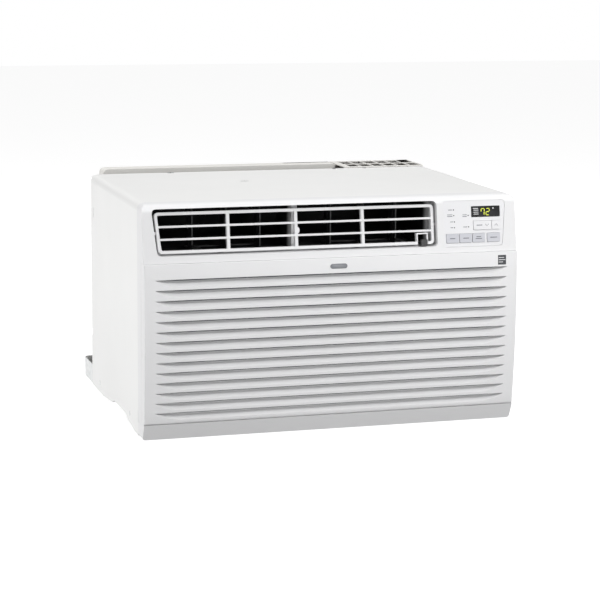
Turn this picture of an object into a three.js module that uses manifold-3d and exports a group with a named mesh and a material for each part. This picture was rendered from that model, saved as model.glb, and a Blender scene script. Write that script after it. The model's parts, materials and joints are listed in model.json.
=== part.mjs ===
// A through-the-wall room air conditioner, pulled out of its wall sleeve.
// Millimetres, +Z up, the room side faces -Y. Inside the unit group, y = 0 is the front-most plane of the
// inlet grille, z = 0 is the plane the pan stands on and x = 0 is the middle of the width.
import * as THREE from 'three';
import { mergeVertices } from 'three/addons/utils/BufferGeometryUtils.js';
import Module from 'manifold-3d';

const wasm = await Module();
wasm.setup();

// ---- driving dimensions ----
const width = 609.6;
const height = 366.7;
const depth = 518;
const half = width / 2;

// fits and stock
const gap = 0.3;
const sheet = 1.5;
const wall = 3;
const ductWall = 2.5;
const runningGap = 0.4;

// front frame and upper panel
const frameDepth = 51.3;
const cornerRadius = 12;
const upperPanelHeight = 89.7;
const panelSetBack = 6.7;
const panelLean = Math.atan(0.17);
const topEdgeRadius = 16;
const stripHeight = 26;
const stripSlope = 11.8;

// inlet grille
const faceRadius = 1431;
const bulgeBelowSeam = 96.6;
const grilleWall = 2.5;
const hingeRadius = 3.5;
const louvrePitch = 16.05;
const firstLouvreBelowSeam = 24;
const louvreOpening = 12;
const louvreDepth = 8;
const louvreRise = 2;
const lowestLouvre = 14;
const tipMargin = 16.8;
const tipSweep = 42;
const ribSpacing = 138;
const ribDepth = 2.3;
const filterThick = 3;
const filterFoot = 40;

// outlet and control panel, both measured up the leaning panel from its foot
const outletLeftMargin = 22.6;
const outletToPlate = 11.5;
const outletFoot = 11;
const outletTop = 83.6;
const outletTaper = 0.1;
const louverDrop = 8;
const louverThick = 8;
const railHeight = 4.6;
const plateInset = 0.8;
const plateThick = 3;
const plateRightMargin = 16.8;
const plateWidth = 105;
const plateFoot = 9.5;
const plateTop = 82.5;
const plateTaper = 7;

// air path behind the panel
const ductLength = 83;
const vaneSetBack = 20.7;
const vaneChord = 33;
const vaneThick = 1.6;
const vanesPerBank = 3;
const vaneSpacing = 54.5;
const leftBankShift = 10.625;
const rightBankShift = 3.375;
const coldSection = 156.2;
const housingSetBack = 52.7;
const coilSetBack = 12.7;

// wrapper, pan and the machine section behind the bulkhead
const rearReveal = 87.3;
const panRim = 33;
const panRecess = 13;
const rearFootLength = 184;
const shroudSetBack = 37;
const shroudLeftMargin = 31.8;
const shroudRightMargin = 154.8;
const shroudRise = 2.3;
const shaftRadius = 6;
const compressorRadius = 58;
const compressorHeight = 218;
const compressorBack = 120;
const footSideMargin = 24.45;
const footCircle = 72;
const accumulatorRadius = 23;

// levels and stations that follow from the sizes above
const seamZ = height - upperPanelHeight;
const bulgeZ = seamZ - bulgeBelowSeam;
const faceY = (z) => (z - bulgeZ) ** 2 / (2 * faceRadius);
const panelY = (z) => panelSetBack + (z - seamZ) * Math.tan(panelLean);
const filterBack = faceY(filterFoot - 6) + louvreDepth + ribDepth + gap + filterThick;
const grilleReturn = filterBack + 2.5;
const cheekSetBack = grilleReturn + 0.8;
const bayWallSetBack = filterBack + 7;
const louvreSpan = seamZ - firstLouvreBelowSeam - stripHeight - lowestLouvre;
const louvreCount = 1 + Math.floor(louvreSpan / louvrePitch);
const ductStart = frameDepth - 4.3;
const ductEnd = ductStart + ductLength;
const vaneAxisY = frameDepth + vaneSetBack;
const bulkheadY = frameDepth + coldSection;
const housingFront = frameDepth + housingSetBack;
const wrapperEnd = depth - rearReveal;
const rearFootStart = depth - rearFootLength;
const recessEnd = bulkheadY + 32.5;
const outletLeft = -half + outletLeftMargin;
const plateRight = half - plateRightMargin;
const plateLeft = plateRight - plateWidth;
const outletRight = plateLeft - outletToPlate;
const shroudRight = half - shroudRightMargin;
const ductFloor = seamZ + 11;
const ductRoof = seamZ + 81;
const ductLeft = outletLeft - 3.8;
const ductRight = outletRight - 3;
const plenumFloor = ductFloor + 12;
const scrollTop = ductFloor - ductWall - 1;
const panFloorMid = panRecess + sheet;
const shaftX = (ductLeft + ductRight) / 2;
const shaftZ = (panFloorMid + gap + scrollTop) / 2;
const scrollRadius = (scrollTop - panFloorMid - gap) / 2;
const wheelRadius = scrollRadius - ductWall - 29;
const shroudY = depth - shroudSetBack;
const shroudTop = height + shroudRise;
const slingerRadius = shaftZ - sheet - 4;
const fanY = shroudY - 19;
const compressorX = half - footSideMargin - footCircle * Math.cos(Math.PI / 6);
const compressorY = depth - compressorBack;
const hingeZ = stripHeight + hingeRadius;
const hingeY = faceY(hingeZ) + hingeRadius;
const louverMid = 47.3;

// ---- materials: colour, roughness, metalness ----
const looks = {
  whitePaint: [0xf3f3f1, 0.45, 0],
  whitePlastic: [0xe9e9e7, 0.5, 0],
  greyPlastic: [0xc6c7cb, 0.5, 0],
  blackPlastic: [0x17181a, 0.5, 0],
  foam: [0x2b2c2e, 0.9, 0],
  galvanised: [0xb9bcbd, 0.4, 0.8],
  aluminium: [0xc4c8cb, 0.4, 0.9],
  copper: [0xb87045, 0.35, 1],
  steelBlack: [0x202124, 0.45, 0.3],
  rubber: [0x1c1c1c, 0.9, 0],
  circuit: [0x1f5a38, 0.6, 0],
  mesh: [0x7b8085, 0.8, 0],
  lens: [0x101214, 0.15, 0],
  warmPaint: [0xdedcd7, 0.5, 0],
};

// ---- geometry helpers ----
function withoutSlivers(index) {
  const kept = [];
  for (let i = 0; i < index.length; i += 3) {
    const [a, b, c] = index.slice(i, i + 3);
    if (a !== b && b !== c && a !== c) kept.push(a, b, c);
  }
  return kept;
}

function signedVolume(position, index) {
  const [a, b, c] = [new THREE.Vector3(), new THREE.Vector3(), new THREE.Vector3()];
  let sum = 0;
  for (let i = 0; i < index.length; i += 3) {
    a.fromBufferAttribute(position, index[i]);
    b.fromBufferAttribute(position, index[i + 1]);
    c.fromBufferAttribute(position, index[i + 2]);
    sum += a.dot(b.cross(c));
  }
  return sum;
}

function solid(geometry) {
  const bare = geometry.clone();
  bare.deleteAttribute('normal');
  bare.deleteAttribute('uv');
  const welded = mergeVertices(bare, 1e-3);
  const position = welded.attributes.position;
  const index = withoutSlivers(Array.from(welded.index.array));
  if (signedVolume(position, index) < 0) index.reverse();
  const mesh = new wasm.Mesh({
    numProp: 3,
    vertProperties: Float32Array.from(position.array),
    triVerts: Uint32Array.from(index),
  });
  return new wasm.Manifold(mesh);
}

function toGeometry(manifold) {
  const mesh = manifold.getMesh();
  const geometry = new THREE.BufferGeometry();
  geometry.setAttribute('position', new THREE.BufferAttribute(mesh.vertProperties, 3));
  geometry.setIndex(new THREE.BufferAttribute(mesh.triVerts, 1));
  geometry.computeVertexNormals();
  return geometry;
}

const join = (...parts) => parts.reduce((sum, part) => sum.add(part));
const cut = (base, ...tools) => tools.reduce((rest, tool) => rest.subtract(tool), base);
const common = (a, b) => a.intersect(b);

function box(x0, x1, y0, y1, z0, z1) {
  const geometry = new THREE.BoxGeometry(x1 - x0, y1 - y0, z1 - z0);
  return solid(geometry.translate((x0 + x1) / 2, (y0 + y1) / 2, (z0 + z1) / 2));
}

// A closed outline through the given corners, each rounded by its radius.
function outline(points, radius = 0) {
  const corners = points.map(([u, v]) => new THREE.Vector2(u, v));
  const shape = new THREE.Shape();
  corners.forEach((corner, i) => {
    const before = corners.at(i - 1).clone().sub(corner);
    const after = corners[(i + 1) % corners.length].clone().sub(corner);
    const r = Array.isArray(radius) ? radius[i] : radius;
    const enter = corner.clone().add(before.setLength(r));
    const leave = corner.clone().add(after.setLength(r));
    if (i === 0) shape.moveTo(enter.x, enter.y);
    else shape.lineTo(enter.x, enter.y);
    if (r > 0) shape.quadraticCurveTo(corner.x, corner.y, leave.x, leave.y);
  });
  return shape;
}

function rectangle(u0, u1, v0, v1, radius = 0) {
  return outline([[u0, v0], [u1, v0], [u1, v1], [u0, v1]], radius);
}

function polygonShape(count, place) {
  return outline(Array.from({ length: count }, (_, i) => place(i / count)));
}

const disc = (radius, sides) => polygonShape(sides, (t) => [
  radius * Math.cos(2 * Math.PI * t),
  radius * Math.sin(2 * Math.PI * t),
]);

// An outline pushed along an axis. X takes (y, z) outlines, Y takes (x, z) and Z takes (x, y).
function prism(axis, shape, from, to, curveSegments = 4) {
  const [x, y, z] = [new THREE.Vector3(1, 0, 0), new THREE.Vector3(0, 1, 0), new THREE.Vector3(0, 0, 1)];
  const basis = { X: [y, z, x], Y: [x, z, y.clone().negate()], Z: [x, y, z] }[axis];
  const options = { depth: to - from, bevelEnabled: false, curveSegments };
  const geometry = new THREE.ExtrudeGeometry(shape, options).translate(0, 0, axis === 'Y' ? -to : from);
  return solid(geometry.applyMatrix4(new THREE.Matrix4().makeBasis(...basis)));
}

// A round bar along an axis; (a, b) is its place on the other two axes, in X, Y, Z order.
function rod(axis, radius, from, to, a, b, sides = 16) {
  const geometry = new THREE.CylinderGeometry(radius, radius, to - from, sides);
  const middle = (from + to) / 2;
  if (axis === 'X') return solid(geometry.rotateZ(Math.PI / 2).translate(middle, a, b));
  if (axis === 'Y') return solid(geometry.translate(a, middle, b));
  return solid(geometry.rotateX(Math.PI / 2).translate(a, b, middle));
}

// A turned piece about an upright axis (Z) or one that runs front to back (Y): profile of [radius, station].
function turned(axis, profile, a, b, sides = 24) {
  const points = profile.map(([radius, station]) => new THREE.Vector2(radius, station));
  const geometry = new THREE.LatheGeometry(points, sides);
  if (axis === 'Z') return solid(geometry.rotateX(Math.PI / 2).translate(a, b, 0));
  return solid(geometry.translate(a, 0, b));
}

function tube(points, radius, steps, sides = 8) {
  const through = points.map((p) => new THREE.Vector3(...p));
  const path = new THREE.CatmullRomCurve3(through, false, 'catmullrom', 0.4);
  return solid(new THREE.ExtrudeGeometry(disc(radius, sides), { steps, extrudePath: path }));
}

// From (x, depth behind the face, distance up the face) of the leaning upper panel to the unit's frame.
function onPanel(manifold) {
  const degrees = THREE.MathUtils.radToDeg(-panelLean);
  return manifold.rotate([degrees, 0, 0]).translate([0, panelSetBack, seamZ]);
}

// ---- scene graph ----
const group = new THREE.Group();
const unit = new THREE.Group();
unit.position.y = -depth / 2;
group.add(unit);

function piece(name, manifold, look) {
  const [color, roughness, metalness] = looks[look];
  const material = new THREE.MeshStandardMaterial({ color, roughness, metalness });
  const mesh = new THREE.Mesh(toGeometry(manifold), material);
  mesh.name = name;
  unit.add(mesh);
}

// ---- base pan and wrapper ----
// Underside of the pan, from the front: a foot, an arch over the sleeve's rail, and the long rear foot.
function undersideProfile(lift) {
  const ramp = rearFootStart - recessEnd;
  const [toe, heel] = [frameDepth + 4.7, frameDepth + 28.7];
  return [
    [toe, lift], [heel, lift], [heel + 30, 5 + lift], [heel + 52, 6 + lift],
    [heel + 68, panRecess + lift], [recessEnd, panRecess + lift],
    [recessEnd + 0.24 * ramp, 6 + lift], [rearFootStart, lift],
  ];
}

function aboveUnderside(lift, to, top) {
  const points = [[0, lift], ...undersideProfile(lift), [to, lift], [to, top], [0, top]];
  return prism('X', outline(points), -half - 1, half + 1);
}

function panPlan(inset, top) {
  const edge = half - sheet - gap - inset;
  const shape = rectangle(-edge, edge, frameDepth + 4 + inset, depth - inset, [2, 2, 10, 10]);
  return prism('Z', shape, -1, top);
}

function compressorFeet() {
  return [90, 210, 330].map((angle) => {
    const turn = THREE.MathUtils.degToRad(angle);
    return [compressorX + footCircle * Math.cos(turn), compressorY + footCircle * Math.sin(turn)];
  });
}

const drainPlace = [-half + 104.8, depth - 60];
const drainRadius = 9;
const studRadius = 4;
const screwPlaces = [[frameDepth + 65.4, 21], [rearFootStart + 28.6, 17]];

function basePan() {
  const outer = common(panPlan(0, panRim), aboveUnderside(0, depth + 1, 60));
  const inner = common(panPlan(sheet, 90), aboveUnderside(sheet, depth + 1, 80));
  const studs = compressorFeet().map(([x, y]) => rod('Z', studRadius, sheet / 2, 34, x, y, 12));
  const holes = screwPlaces.map(([y, z]) => rod('X', 2.3, -half - 1, half + 1, y, z, 8));
  return cut(join(cut(outer, inner), ...studs), ...holes, rod('Z', drainRadius, -1, 8, ...drainPlace));
}

function cabinetWrapper() {
  const start = frameDepth + gap;
  const skin = (inset) => prism('Y', rectangle(
    -half + inset, half - inset, -20, height - inset,
    [0, 0, cornerRadius - inset, cornerRadius - inset],
  ), start - inset, wrapperEnd + inset, 5);
  const shell = common(cut(skin(0), skin(sheet)), aboveUnderside(0.6, wrapperEnd + 1, height + 1));
  const ends = box(-half - 1, half + 1, start, wrapperEnd, 0, height + 1);
  const screws = screwPlaces.map(([y, z]) => rod('X', 4.3, -half - 1, half + 1, y, z, 12));
  const slot = box(-half - 1, half + 1, wrapperEnd - 23, wrapperEnd - 20.5, height - 70.7, height - 53.7);
  const notch = box(-half - 1, half + 1, wrapperEnd - 6, wrapperEnd + 1, 89, 100);
  const tabSlot = box(-half - 1, half + 1, start - 1, start + 1.6, 20, 41);
  return cut(common(shell, ends), ...screws, slot, notch, tabSlot);
}

// A countersunk screw that ends flush with the wrapper; side is -1 for the left and 1 for the right.
function cabinetScrew(side, y, z) {
  const face = side * half;
  const inner = side * (half - sheet);
  const tip = side * (half - 9);
  const head = rod('X', 4, Math.min(face, inner), Math.max(face, inner), y, z, 12);
  return join(head, rod('X', 1.9, Math.min(tip, inner), Math.max(tip, inner), y, z, 8));
}

// ---- front frame ----
function panelSection(shape, inset, footZ) {
  const tangent = topEdgeRadius / Math.tan((Math.PI / 2 + panelLean) / 2);
  const arcY = panelY(height) + tangent;
  const arcZ = height - topEdgeRadius;
  const normal = inset / Math.cos(panelLean);
  shape.lineTo(panelY(footZ) + normal, footZ);
  shape.absarc(arcY, arcZ, topEdgeRadius - inset, Math.PI - panelLean, Math.PI / 2, true);
}

function frameSection(inset, bay) {
  const stripTop = stripHeight - gap - inset;
  const stripY = faceY(stripHeight) + inset * 1.1;
  const shape = new THREE.Shape();
  shape.moveTo(frameDepth + inset, inset);
  shape.lineTo(stripY + stripSlope, inset);
  shape.lineTo(stripY, stripTop);
  shape.lineTo(bay, stripTop);
  shape.lineTo(bay, seamZ + gap + inset);
  panelSection(shape, inset, seamZ + gap + inset);
  shape.lineTo(frameDepth + inset, height - inset);
  return shape;
}

function frameBlock(inset, bay) {
  const radii = [5, 5, cornerRadius, cornerRadius].map((radius) => radius - inset);
  const front = rectangle(-half + inset, half - inset, inset, height - inset, radii);
  const section = prism('X', frameSection(inset, bay), -half, half, 6);
  return common(section, prism('Y', front, -1, frameDepth + wall + 1, 5));
}

// The outlet's outline in x and z, grown outwards by a margin.
function outletOutline(margin) {
  const up = Math.cos(panelLean);
  const low = seamZ + outletFoot * up - margin;
  const high = seamZ + outletTop * up + margin;
  const lean = outletTaper * (outletTop - outletFoot);
  return outline([
    [outletLeft - margin, low], [outletRight + margin, low],
    [outletRight + margin, high], [outletLeft - lean - margin, high],
  ], 8 + margin);
}

const louverAxis = {
  y: panelSetBack + louverMid * Math.sin(panelLean) + (louverDrop + louverThick / 2) * Math.cos(panelLean),
  z: seamZ + louverMid * Math.cos(panelLean) - (louverDrop + louverThick / 2) * Math.sin(panelLean),
};

// Control plate outline up the leaning panel; grow is positive for the seat around it.
function plateOutline(grow) {
  return outline([
    [plateLeft - grow, plateFoot - grow], [plateRight - plateTaper + grow, plateFoot - grow],
    [plateRight + grow, plateTop + grow], [plateLeft - grow, plateTop + grow],
  ], [4, 6, 7, 3].map((radius) => radius + Math.max(grow, -2)));
}

const glandPlace = { y: frameDepth - 9.1, z: 62 };
const glandRadius = 7;
const lugHalf = 4;
const lugPlaces = [-1, 1].map((side) => side * (half - 120));

function frontFrame() {
  const block = frameBlock(0, cheekSetBack);
  const hollow = frameBlock(wall, bayWallSetBack + wall);
  const bay = box(-half + wall, half - wall, 0, bayWallSetBack, stripHeight - gap, seamZ + gap);
  const window = box(-half + 20, half - 20, bayWallSetBack - 1, bayWallSetBack + wall + 1, 38, seamZ - 10);
  const shell = cut(block, hollow, bay, window);
  const collar = common(prism('Y', outletOutline(ductWall), 0, frameDepth - 4.6), block);
  const seat = common(onPanel(prism('Y', plateOutline(4), 1, 7)), block);
  const lugs = lugPlaces.map((x) => hingeLug(x));
  const filled = join(shell, collar, seat, ...lugs);
  const pivots = rod('X', 2.9, outletLeft - 16, outletRight + 12, louverAxis.y, louverAxis.z, 12);
  return cut(
    filled,
    prism('Y', outletOutline(0), -1, frameDepth),
    onPanel(prism('Y', plateOutline(gap), -3, plateInset + plateThick + gap)),
    onPanel(prism('Y', plateOutline(-2), 0, 9)),
    common(pivots, box(-half, half, 0, frameDepth, seamZ, height)),
    rod('X', glandRadius + gap, half - wall - 1, half + 1, glandPlace.y, glandPlace.z),
  );
}

// A lug that reaches forward from the bay wall and carries the grille's hinge pin.
function hingeLug(x) {
  const arm = box(x - lugHalf, x + lugHalf, hingeY, bayWallSetBack + 1, hingeZ - 2.2, hingeZ + 2.2);
  const nose = rod('X', 2.2, x - lugHalf, x + lugHalf, hingeY, hingeZ);
  return cut(join(arm, nose), rod('X', 1.4, x - lugHalf - 1, x + lugHalf + 1, hingeY, hingeZ));
}

// ---- inlet grille and filter ----
function facePoints(inset, low, high, count) {
  return Array.from({ length: count + 1 }, (_, i) => {
    const z = low + (high - low) * (i / count);
    return [faceY(z) + inset, z];
  });
}

function grilleSection(inset, back) {
  const low = stripHeight + inset;
  const high = seamZ - inset;
  const corner = Array.from({ length: 5 }, (_, i) => {
    const turn = Math.PI * 1.5 - (Math.PI / 2) * (i / 4);
    const radius = Math.max(hingeRadius - inset, 0.5);
    return [hingeY + radius * Math.cos(turn), hingeZ + radius * Math.sin(turn)];
  });
  const face = facePoints(inset, hingeZ + 4, high, 8);
  return outline([[back, low], ...corner, ...face, [back, high]]);
}

// One slanted air slot: a bar with pointed ends, sheared so that it climbs towards the back.
function airSlot(lipZ) {
  const tip = half - tipMargin;
  const shape = outline([
    [-tip, lipZ], [-tip + tipSweep, lipZ - louvreOpening],
    [tip - tipSweep, lipZ - louvreOpening], [tip, lipZ],
  ]);
  const front = faceY(lipZ);
  const bar = prism('Y', shape, front - 3, front + louvreDepth + 6);
  const shear = new THREE.Matrix4().makeTranslation(0, 0, -front * louvreRise);
  shear.elements[6] = louvreRise;
  return bar.transform(shear.elements);
}

function grilleRib(x, low, high) {
  const front = facePoints(louvreDepth - 2, low, high, 5);
  const back = facePoints(louvreDepth + ribDepth, low, high, 5).reverse();
  return prism('X', outline([...front, ...back]), x - 1, x + 1);
}

const filterEdge = half - 20.8;
const filterHead = seamZ - 17;

// Hooks on the back of the grille that hold the filter's upright edges, and ledges under its foot.
function filterHooks() {
  const hooks = [];
  for (const side of [-1, 1]) {
    const place = (near, far) => [side * near, side * far].sort((a, b) => a - b);
    const stem = place(filterEdge + 0.6, filterEdge + 4);
    const lip = place(filterEdge - 6, filterEdge + 4);
    for (const z of [70, seamZ - 85]) {
      hooks.push(box(...stem, faceY(z) + 1.5, filterBack + 2.5, z, z + 20));
      hooks.push(box(...lip, filterBack + 0.5, filterBack + 2.5, z, z + 20));
    }
    const ledge = place(half - 80, half - 60);
    hooks.push(box(...ledge, faceY(filterFoot) + 1, filterBack, filterFoot - 3.5, filterFoot - gap));
  }
  return hooks;
}

function inletGrille() {
  const shell = cut(
    prism('X', grilleSection(0, grilleReturn), -half, half),
    prism('X', grilleSection(grilleWall, grilleReturn + 1), -half + grilleWall, half - grilleWall),
  );
  const low = filterFoot - 6;
  const high = seamZ - 12;
  const skin = facePoints(0.5, low, high, 8);
  const slab = outline([...skin, ...facePoints(louvreDepth, low, high, 8).reverse()]);
  const slats = prism('X', slab, -half + 14, half - 14);
  const firstLip = seamZ - firstLouvreBelowSeam;
  const slots = Array.from({ length: louvreCount }, (_, i) => airSlot(firstLip - i * louvrePitch));
  const ribs = [-1, 0, 1].map((i) => grilleRib(i * ribSpacing, low, high));
  const notches = lugPlaces.map((x) => join(
    box(x - lugHalf - 1, x + lugHalf + 1, hingeY - 2.6, grilleReturn + 1, stripHeight - 1, hingeZ + 3),
    box(x - lugHalf - 1, x + lugHalf + 1, -1, hingeY, stripHeight - 1, hingeZ - 1.2),
  ));
  const pins = lugPlaces.map((x) => rod('X', 1, x - lugHalf - 2, x + lugHalf + 2, hingeY, hingeZ, 8));
  const bosses = lugPlaces.flatMap((x) => [-1, 1].map((side) => {
    const middle = x + side * (lugHalf + 2.5);
    return box(middle - 1.5, middle + 1.5, hingeY - 2.5, hingeY + 2, stripHeight + 1, hingeZ + 2);
  }));
  const open = cut(join(shell, slats), ...slots, ...notches);
  return join(open, ...ribs, ...filterHooks(), ...pins, ...bosses);
}

function filterFrame() {
  const front = filterBack - filterThick;
  const back = filterBack - 1.1;
  const bar = 6;
  const halfBar = 1.5;
  const rim = cut(
    box(-filterEdge, filterEdge, front, back, filterFoot, filterHead),
    box(-filterEdge + bar, filterEdge - bar, front - 1, back + 1, filterFoot + bar, filterHead - bar),
  );
  const uprights = [-1, 0, 1].map((i) => {
    const x = i * ribSpacing;
    return box(x - halfBar, x + halfBar, front, back, filterFoot + 1, filterHead - 1);
  });
  const middle = (filterFoot + filterHead) / 2;
  const rail = box(-filterEdge + 1, filterEdge - 1, front, back, middle - halfBar, middle + halfBar);
  return join(rim, rail, ...uprights);
}

function filterMesh() {
  return box(-filterEdge + 2, filterEdge - 2, filterBack - 0.8, filterBack, filterFoot + 2, filterHead - 2);
}

// ---- discharge louver, vanes and duct ----
const barLevels = [37.3, 56.8];
const doorwayHeight = 16.2;
const archWall = 2;

function louverFrame() {
  const low = outletFoot + 4.7;
  const high = outletTop - 4.6;
  const right = outletRight - 3;
  const left = (s) => outletLeft + 3.7 - 0.082 * (s - low);
  const border = (inset) => outline([
    [left(low) + inset, low + inset], [right - inset, low + inset],
    [right - inset, high - inset], [left(high) + inset, high - inset],
  ], Math.max(7 - inset, 3));
  const [front, back] = [louverDrop, louverDrop + louverThick];
  const opening = prism('Y', border(railHeight), front - 1, back + 1);
  const rim = cut(prism('Y', border(0), front, back), opening);
  const bars = barLevels.map((s) => box(left(low) - 2, right - 2, front, back, s - 1.6, s + 1.6));
  const uprights = [-vaneSpacing * 2, 0, vaneSpacing * 2].map((step) => {
    const x = shaftX + step;
    return box(x - 2.4, x + 2.4, front + 0.5, back - 0.5, low + 2, high - 2);
  });
  const notch = [outletRight - 32.5, outletRight - 13.5];
  const arch = box(notch[0], notch[1], front, back, low, low + doorwayHeight + archWall);
  const doorway = box(
    notch[0] + archWall, notch[1] - archWall, front - 1, back + 1, low - 1, low + doorwayHeight);
  const pins = [[outletLeft - 7.5, left(louverMid) + 2], [right - 2, outletRight + 2.2]].map(([from, to]) => (
    rod('X', 2.5, from, to, louverDrop + louverThick / 2, louverMid, 12)));
  const inside = prism('Y', border(0.5), front - 1, back + 1);
  const grid = cut(join(rim, ...bars, arch), doorway);
  return onPanel(join(grid, ...uprights.map((bar) => common(bar, inside)), ...pins));
}

const linkY = vaneAxisY + 13;
const linkFloor = ductFloor + 2;
const linkThick = 2.4;
const pivotRadius = 1.5;
const crankRadius = 1.3;

function vane(x, hasLever) {
  const low = ductFloor + 1;
  const high = ductRoof - 0.8;
  const front = vaneAxisY - vaneChord * 0.45;
  const blade = cut(
    box(x - vaneThick / 2, x + vaneThick / 2, front, front + vaneChord, low, high),
    box(x - 2, x + 2, linkY - 6, front + vaneChord + 1, low - 1, linkFloor + linkThick + 1.2),
  );
  const pivot = rod('Z', pivotRadius, ductFloor - 2, ductRoof + 2, x, vaneAxisY, 8);
  const crank = rod('Z', crankRadius, linkFloor - 0.6, linkFloor + linkThick + 4, x, linkY, 8);
  if (!hasLever) return join(blade, pivot, crank);
  const tab = outline([
    [x - 1.6, front + 4], [x - 1, front - 8], [x + 4, front - 20], [x + 8.5, front - 22],
    [x + 9, front - 19], [x + 3.6, front - 7], [x + 1.6, front + 4],
  ]);
  return join(blade, pivot, crank, prism('Z', tab, ductFloor + 6, ductFloor + 8.5));
}

function vaneLink(places) {
  const bar = rectangle(places[0] - 5, places.at(-1) + 5, linkY - 3.5, linkY + 3.5, 2);
  const bore = crankRadius + runningGap;
  const holes = places.map((x) => rod('Z', bore, linkFloor - 1, linkFloor + linkThick + 1, x, linkY, 8));
  return cut(prism('Z', bar, linkFloor, linkFloor + linkThick), ...holes);
}

const partition = [shaftX - 1, shaftX + 8];
const bank = (first) => Array.from({ length: vanesPerBank }, (_, i) => first + i * vaneSpacing);
const bankLength = (vanesPerBank - 1) * vaneSpacing;
const leftBank = bank((ductLeft + partition[0] - bankLength) / 2 + leftBankShift);
const rightBank = bank((partition[1] + ductRight - bankLength) / 2 + rightBankShift);
const rampStart = vaneAxisY + 23;
const ventX = outletRight - 21.5;
const ventZ = ductFloor + 3.5;

function ductBore(x0, x1) {
  const [start, end] = [ductStart - 1.7, ductEnd + 1];
  const section = outline([
    [start, ductFloor], [rampStart, ductFloor], [end, plenumFloor], [end, ductRoof], [start, ductRoof],
  ]);
  return prism('X', section, x0, x1);
}

function outletDuct() {
  const [foot, rampTop, roof] = [ductFloor - ductWall, plenumFloor - ductWall, ductRoof + ductWall];
  const section = outline([
    [ductStart, foot], [rampStart, foot], [ductEnd, rampTop], [ductEnd, roof], [ductStart, roof],
  ]);
  const body = prism('X', section, ductLeft - ductWall, ductRight + ductWall);
  const bore = pivotRadius + runningGap;
  const pivots = [...leftBank, ...rightBank].map((x) => (
    rod('Z', bore, ductFloor - 4, ductRoof + 4, x, vaneAxisY, 8)));
  const rodSlot = box(ventX - 4.5, ventX + 4.5, rampStart - 2, ductEnd + 1, ductFloor - 4, plenumFloor + 1);
  return cut(body, ductBore(ductLeft, partition[0]), ductBore(partition[1], ductRight), rodSlot, ...pivots);
}

// ---- fresh air lever and door ----
const doorFoot = ventZ - 31.5;
const doorHead = ventZ + 2.5;

function ventLever() {
  const knob = prism('Y', rectangle(ventX - 5.2, ventX + 5.2, ventZ - 2.2, ventZ + 8.2, 2), 12, 19);
  const bar = box(ventX - 2, ventX + 2, 18, bulkheadY - 6.5, ventZ - 2, ventZ + 2);
  const foot = box(ventX - 6, ventX + 6, bulkheadY - 8.5, bulkheadY - 6.5, ventZ - 2, ventZ + 4);
  return join(knob, bar, foot);
}

function ventDoor() {
  const leaf = box(ventX - 19, ventX + 19, bulkheadY - 4, bulkheadY - 2.2, doorFoot + 1, doorHead);
  const barrel = rod('X', 1.6, ventX - 19, ventX + 19, bulkheadY - 3, doorFoot, 10);
  return join(leaf, barrel, rod('X', 1, ventX - 22, ventX + 22, bulkheadY - 3, doorFoot, 8));
}

const evaporator = {
  left: ductLeft + 26,
  right: ductRight - 21,
  front: frameDepth + coilSetBack,
  back: frameDepth + coilSetBack + 32,
  foot: 31,
  head: ductFloor - 13,
};
const lineZ = 60;
const evaporatorStubs = [lineZ, evaporator.head - 50];
const evaporatorStubEnd = ductRight - 8;
const dryerX = compressorX - 88;
const pipeHoles = [[ductRight + 1.5, evaporatorStubs[1]], [dryerX, lineZ]];

function bulkhead() {
  const edge = half - 2 * sheet - 3 * gap;
  const top = height - sheet - gap;
  const low = panFloorMid + gap;
  const radii = [0, 0, cornerRadius - sheet, cornerRadius - sheet];
  const plate = prism('Y', rectangle(-edge, edge, low, top, radii), bulkheadY, bulkheadY + sheet, 5);
  const foot = box(-edge + 4, edge - 4, bulkheadY, bulkheadY + 20, low, low + sheet);
  const eyes = [-1, 1].map((side) => {
    const x = ventX + side * 21;
    return cut(
      box(x - 1, x + 1, bulkheadY - 6, bulkheadY + 0.5, doorFoot - 3, doorFoot + 3),
      rod('X', 1 + runningGap, x - 3, x + 3, bulkheadY - 3, doorFoot, 8),
    );
  });
  return cut(
    join(plate, foot, ...eyes),
    rod('Y', 22, bulkheadY - 1, bulkheadY + sheet + 1, shaftX, shaftZ),
    box(ventX - 16, ventX + 16, bulkheadY - 1, bulkheadY + 3, doorFoot + 5, doorHead - 2),
    ...pipeHoles.map(([x, z]) => rod('Y', 9, bulkheadY - 1, bulkheadY + 3, x, z)),
  );
}

// ---- blower ----
// Scroll outline: the wheel's radius plus a gap that grows steadily round the turn.
function scrollShape(margin) {
  return polygonShape(28, (t) => {
    const radius = wheelRadius + 9 + 20 * t + margin;
    const turn = Math.PI * (0.5 + 2 * t);
    return [shaftX + radius * Math.cos(turn), shaftZ + radius * Math.sin(turn)];
  });
}

function blowerHousing() {
  const back = bulkheadY - 1.5;
  const top = ductRoof + ductWall;
  const throatLeft = shaftX - wheelRadius - 18;
  const scrollSide = (margin, y0, y1) => prism('Y', scrollShape(margin), y0, y1);
  const ventPass = box(ventX - 26, ductRight + 10, ductEnd, back - 1, ventZ - 80, plenumFloor - ductWall);
  const outer = join(
    scrollSide(ductWall, housingFront, back),
    box(throatLeft - ductWall, shaftX - 6 + ductWall, ductEnd + gap, back, shaftZ, plenumFloor),
    box(ductLeft - ductWall, ductRight + ductWall, ductEnd + gap, back, plenumFloor - ductWall, top),
  );
  const inner = join(
    scrollSide(0, housingFront + ductWall, back - ductWall),
    box(throatLeft, shaftX - 6, ductEnd + gap + ductWall, back - ductWall, shaftZ, plenumFloor + 1),
    box(ductLeft, ductRight, ductEnd - 1, back - ductWall, plenumFloor, ductRoof),
  );
  return cut(
    outer, inner, ventPass,
    rod('Y', wheelRadius - 12, housingFront - 1, housingFront + 4, shaftX, shaftZ, 24),
    rod('Y', 20, back - 4, back + 1, shaftX, shaftZ),
  );
}

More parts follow.
